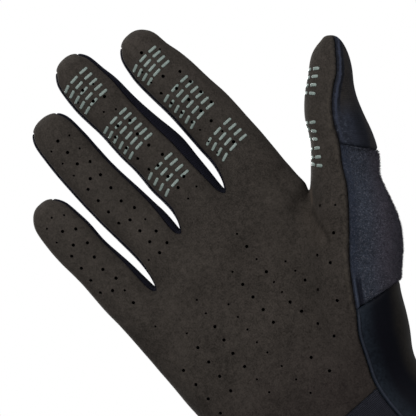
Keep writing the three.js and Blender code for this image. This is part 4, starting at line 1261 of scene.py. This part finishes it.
def thumbMaterial():
    mat, tree, shader = newMaterial("thumbKnit", 0.7, 0.05, (0.5, 0.6, 0.9, 1), 0.1)
    loops = place(tree, knitLoops, Rows=1250.0, Columns=1500.0, Turn=-turned)
    nap = mottle(tree, (21, 23, 31), (42, 46, 57), 700.0, 1.2)
    brown = mottle(tree, (30, 28, 26), (50, 46, 43), 1200.0, 1.0)
    away, along = attribute(tree, "suedeAway"), attribute(tree, "alongThumb")
    upper = remap(tree, along, 0.42, 0.62)
    dim = times(tree, remap(tree, away, 6.0, 11.0), 0.75)
    base = mixColour(tree, dim, nap.outputs["Color"], colour(13, 14, 19))
    base = mixColour(tree, remap(tree, away, 11.5, 15.0), base, brown.outputs["Color"])
    base = mixColour(tree, times(tree, upper, remap(tree, away, 2.8, 3.6)), base,
                     brown.outputs["Color"])
    # painted sheen: lighter blue-grey spots on the lower thumb near the suede's seam
    sheenSpots = remap(tree, noiseNode(tree, 900.0, 3, 0.7), 0.5, 0.66)
    sheenSpots = times(tree, sheenSpots, remap(tree, away, 8.0, 2.0))
    sheenSpots = times(tree, sheenSpots, remap(tree, along, 0.55, 0.4))
    base = mixColour(tree, times(tree, sheenSpots, 0.5), base, colour(78, 84, 95))
    uneven = mathNode(tree, "SUBTRACT", noiseNode(tree, 700.0, 2), 0.5)
    edge = mathNode(tree, "ADD", away, times(tree, uneven, 1.4))
    strip = between(tree, edge, (2.3, 1.7), (0.7, 1.2))
    strip = times(tree, strip, remap(tree, along, 0.25, 0.7, 0.25, 0.85))
    tone = mixColour(tree, strip, base, colour(54, 59, 75))
    # painted shade: a dark line in the groove beside the light strip, on the upper thumb
    groove = between(tree, edge, (2.0, 2.5), (3.7, 2.8))
    groove = times(tree, groove, upper)
    tone = mixColour(tree, times(tree, groove, 0.85), tone, colour(9, 10, 14))
    # painted shade in the hollows between the knit's loops
    hollow = mathNode(tree, "SUBTRACT", 1.0, loops.outputs["Mask"])
    hollowShaded = mixColour(tree, times(tree, hollow, 0.3), tone, colour(10, 11, 16))
    seamed(tree, shader, hollowShaded, 1.5, 1.0)
    bump(tree, shader, loops.outputs["Height"], 0.12, 0.6)
    return mat


def fleeceMaterial(name, withTone):
    mat, tree, shader = newMaterial(name, 1.0, 0.05, (0.7, 0.75, 0.9, 1), 0.05)
    blue = mottle(tree, (33, 37, 45), (60, 65, 76), 1500.0, 1.4)
    grey = mottle(tree, (43, 41, 48), (75, 70, 79), 1500.0, 1.4)
    away, turnedIn = attribute(tree, "suedeAway"), attribute(tree, "turned")
    base = mixColour(tree, remap(tree, away, 6.0, 17.0), blue.outputs["Color"],
                     grey.outputs["Color"])
    specks = remap(tree, noiseNode(tree, 1700.0, 2, 0.6), 0.55, 0.66, 0.0, 0.55)
    base = mixColour(tree, specks, base, colour(102, 101, 111))
    near = times(tree, remap(tree, away, 4.5, 2.0), 0.5)
    base = mixColour(tree, near, base, colour(25, 31, 44))
    if withTone:
        tone = remap(tree, attribute(tree, "tone"), 0.0, 1.0, 0.0, 0.35, False)
        base = mixColour(tree, tone, base, colour(98, 100, 110))
    # painted shadow under the patch's overlapped top edge, broken up by noise, weaker far from the
    # suede's seam
    pebbledShadow = remap(tree, noiseNode(tree, 1000.0, 1), 0.42, 0.56, 1.0, 0.25)
    top = times(tree, remap(tree, attribute(tree, "topAway"), 4.0, 0.8), pebbledShadow)
    top = times(tree, top, remap(tree, away, 2.0, 8.0, 0.4, 0.75))
    base = mixColour(tree, top, base, colour(12, 13, 17))
    # painted shade in the groove along the turned lower left edge
    groove = between(tree, away, (1.4, 2.0), (4.2, 3.2))
    groove = times(tree, groove, turnedIn)
    base = mixColour(tree, times(tree, groove, 0.8), base, colour(13, 13, 20))
    line = between(tree, away, (0.5, 0.9), (1.7, 1.2))
    line = times(tree, line, turnedIn)
    base = mixColour(tree, times(tree, line, 0.5), base, colour(60, 66, 80))
    seamed(tree, shader, base, 1.0, 0.9)
    if not withTone:
        bump(tree, shader, blue.outputs["Height"], 0.3, 0.6)
    return mat


def satinMaterial():
    mat, tree, shader = newMaterial("satinLycra", 0.5, 0.0, (0.6, 0.7, 1, 1), 0.06)
    away = attribute(tree, "suedeAway")
    nap = mottle(tree, (4, 5, 10), (12, 13, 20), 2000.0, 0.5)
    teal = mottle(tree, (13, 17, 23), (30, 36, 44), 900.0, 1.2)
    brown = mottle(tree, (20, 18, 17), (42, 39, 36), 700.0, 0.8)
    base = mixColour(tree, remap(tree, away, 2.5, 9.0), teal.outputs["Color"],
                     nap.outputs["Color"])
    base = mixColour(tree, remap(tree, away, 13.0, 20.0), base, brown.outputs["Color"])
    seamed(tree, shader, base, 0.9, 0.7)
    bump(tree, shader, nap.outputs["Height"], 0.03, 0.5)
    return mat


def plainMaterial(name, roughness, specular, dark, light, grain, strength):
    mat, tree, shader = newMaterial(name, roughness, specular=specular)
    nap = mottle(tree, dark, light, grain, 0.8)
    tree.links.new(nap.outputs["Color"], shader.inputs["Base Color"])
    bump(tree, shader, nap.outputs["Height"], 0.05, strength)
    return mat


silicone = plainMaterial("siliconePrint", 0.42, 0.35, (98, 112, 107), (140, 152, 147), 1100.0, 0.4)
finishes = {
    "palmSuede": suedeMaterial(),
    "backKnit": knitMaterial("backKnit", (20, 21, 30), (36, 37, 48), 1100.0, 1300.0,
                             0.85, 0.03),
    "thumbKnit": thumbMaterial(),
    "fleecePatch": fleeceMaterial("fleeceGround", False),
    "fleecePile": fleeceMaterial("fleecePile", True),
    "sideSatin": satinMaterial(),
    "heelFabric": knitMaterial("heelFabric", (33, 34, 41), (54, 55, 64), 1500.0, 1800.0,
                               0.9, 0.02),
    # lighter navy than the satin: partly the bead's own colour, partly a painted highlight of the
    # turned fold
    "sideBead": plainMaterial("beadLycra", 0.6, 0.15, (24, 28, 37), (42, 47, 58), 1800.0, 0.5),
}
gussetKnit = knitMaterial("gussetKnit", (19, 19, 29), (32, 31, 45), 1250.0, 1500.0, 0.85, 0.02)
for name, obj in made.items():
    finish = finishes.get(name) or (gussetKnit if name.startswith("gusset") else silicone)
    obj.data.materials.clear()
    obj.data.materials.append(finish)
    if finish is not silicone and name != "sideBead":
        markDistances(obj)
spots = placesOf(made["thumbKnit"])
mark(made["thumbKnit"], "alongThumb",
     (spots - np.array(thumbStart)) @ np.array(thumbAxis) / skin["thumbLength"])
spots = placesOf(made["palmSuede"])
mark(made["palmSuede"], "ridgeAway", distances(ridgeSeams, spots))
inFront = np.clip(-spots[:, 1] / folds["fromFront"], 0, 1)
# masks for the suede's painted shade along the crease, painted highlight at the crotch and painted
# light in the hollow
shades = {}
for key in ("creaseShade", "glint", "hollowLight"):
    line, width = folds[key]
    away = distanceToLine(spots[:, 0], spots[:, 2], line) / width
    shades[key] = inFront * np.exp(-away * away)
mark(made["palmSuede"], "creaseShade", shades["creaseShade"])
mark(made["palmSuede"], "glint",
     np.maximum(shades["glint"], folds["hollowLightShare"] * shades["hollowLight"]))
print("materials set")

# Stage: white surroundings, soft lights, camera at the photograph's angle
stage = {
    "lens": 400, "sensor": 36, "centre": (11.9, 141.2), "across": 170.6,
    "right": (0.755, 0, -0.656), "up": (0.656, 0, 0.755),
}
world = bpy.data.worlds.new("studio")
bpy.context.scene.world = world
world.use_nodes = True
tree = world.node_tree
tree.nodes.clear()
seen, soft = tree.nodes.new("ShaderNodeBackground"), tree.nodes.new("ShaderNodeBackground")
seen.inputs[0].default_value, seen.inputs[1].default_value = (1, 1, 1, 1), 1.0
soft.inputs[0].default_value, soft.inputs[1].default_value = (1, 1, 1, 1), 0.32
rays, mixed = tree.nodes.new("ShaderNodeLightPath"), tree.nodes.new("ShaderNodeMixShader")
tree.links.new(rays.outputs["Is Camera Ray"], mixed.inputs[0])
tree.links.new(soft.outputs[0], mixed.inputs[1])
tree.links.new(seen.outputs[0], mixed.inputs[2])
tree.links.new(mixed.outputs[0], tree.nodes.new("ShaderNodeOutputWorld").inputs[0])


def areaLight(name, spot, aim, size, power):
    light = bpy.data.lights.new(name, "AREA")
    light.shape, light.size, light.energy = "DISK", size, power
    obj = bpy.data.objects.new(name, light)
    obj.location = Vector(spot)
    obj.rotation_mode = "QUATERNION"
    obj.rotation_quaternion = (Vector(aim) - Vector(spot)).to_track_quat("-Z", "Y")
    bpy.context.scene.collection.objects.link(obj)


middle = (0.012, -0.01, 0.13)
areaLight("key", (-0.35, -1.0, 0.8), middle, 0.6, 10)
areaLight("fill", (0.75, -0.9, 0.35), middle, 0.8, 4)
areaLight("top", (0.1, 0.5, 1.1), middle, 0.8, 6)
areaLight("behind", (-0.4, 1.2, 0.5), middle, 0.9, 26)

camera = bpy.data.objects.new("camera", bpy.data.cameras.new("camera"))
camera.data.lens, camera.data.sensor_width = stage["lens"], stage["sensor"]
distance = stage["across"] * stage["lens"] / stage["sensor"] * mm
camera.location = (stage["centre"][0] * mm, -distance, stage["centre"][1] * mm)
right, up = Vector(stage["right"]).normalized(), Vector(stage["up"])
backward = right.cross(up).normalized()
up = backward.cross(right)
camera.rotation_mode = "QUATERNION"
camera.rotation_quaternion = Matrix((right, up, backward)).transposed().to_quaternion()
bpy.context.scene.collection.objects.link(camera)
bpy.context.scene.camera = camera
bpy.context.scene.view_settings.view_transform = "Standard"
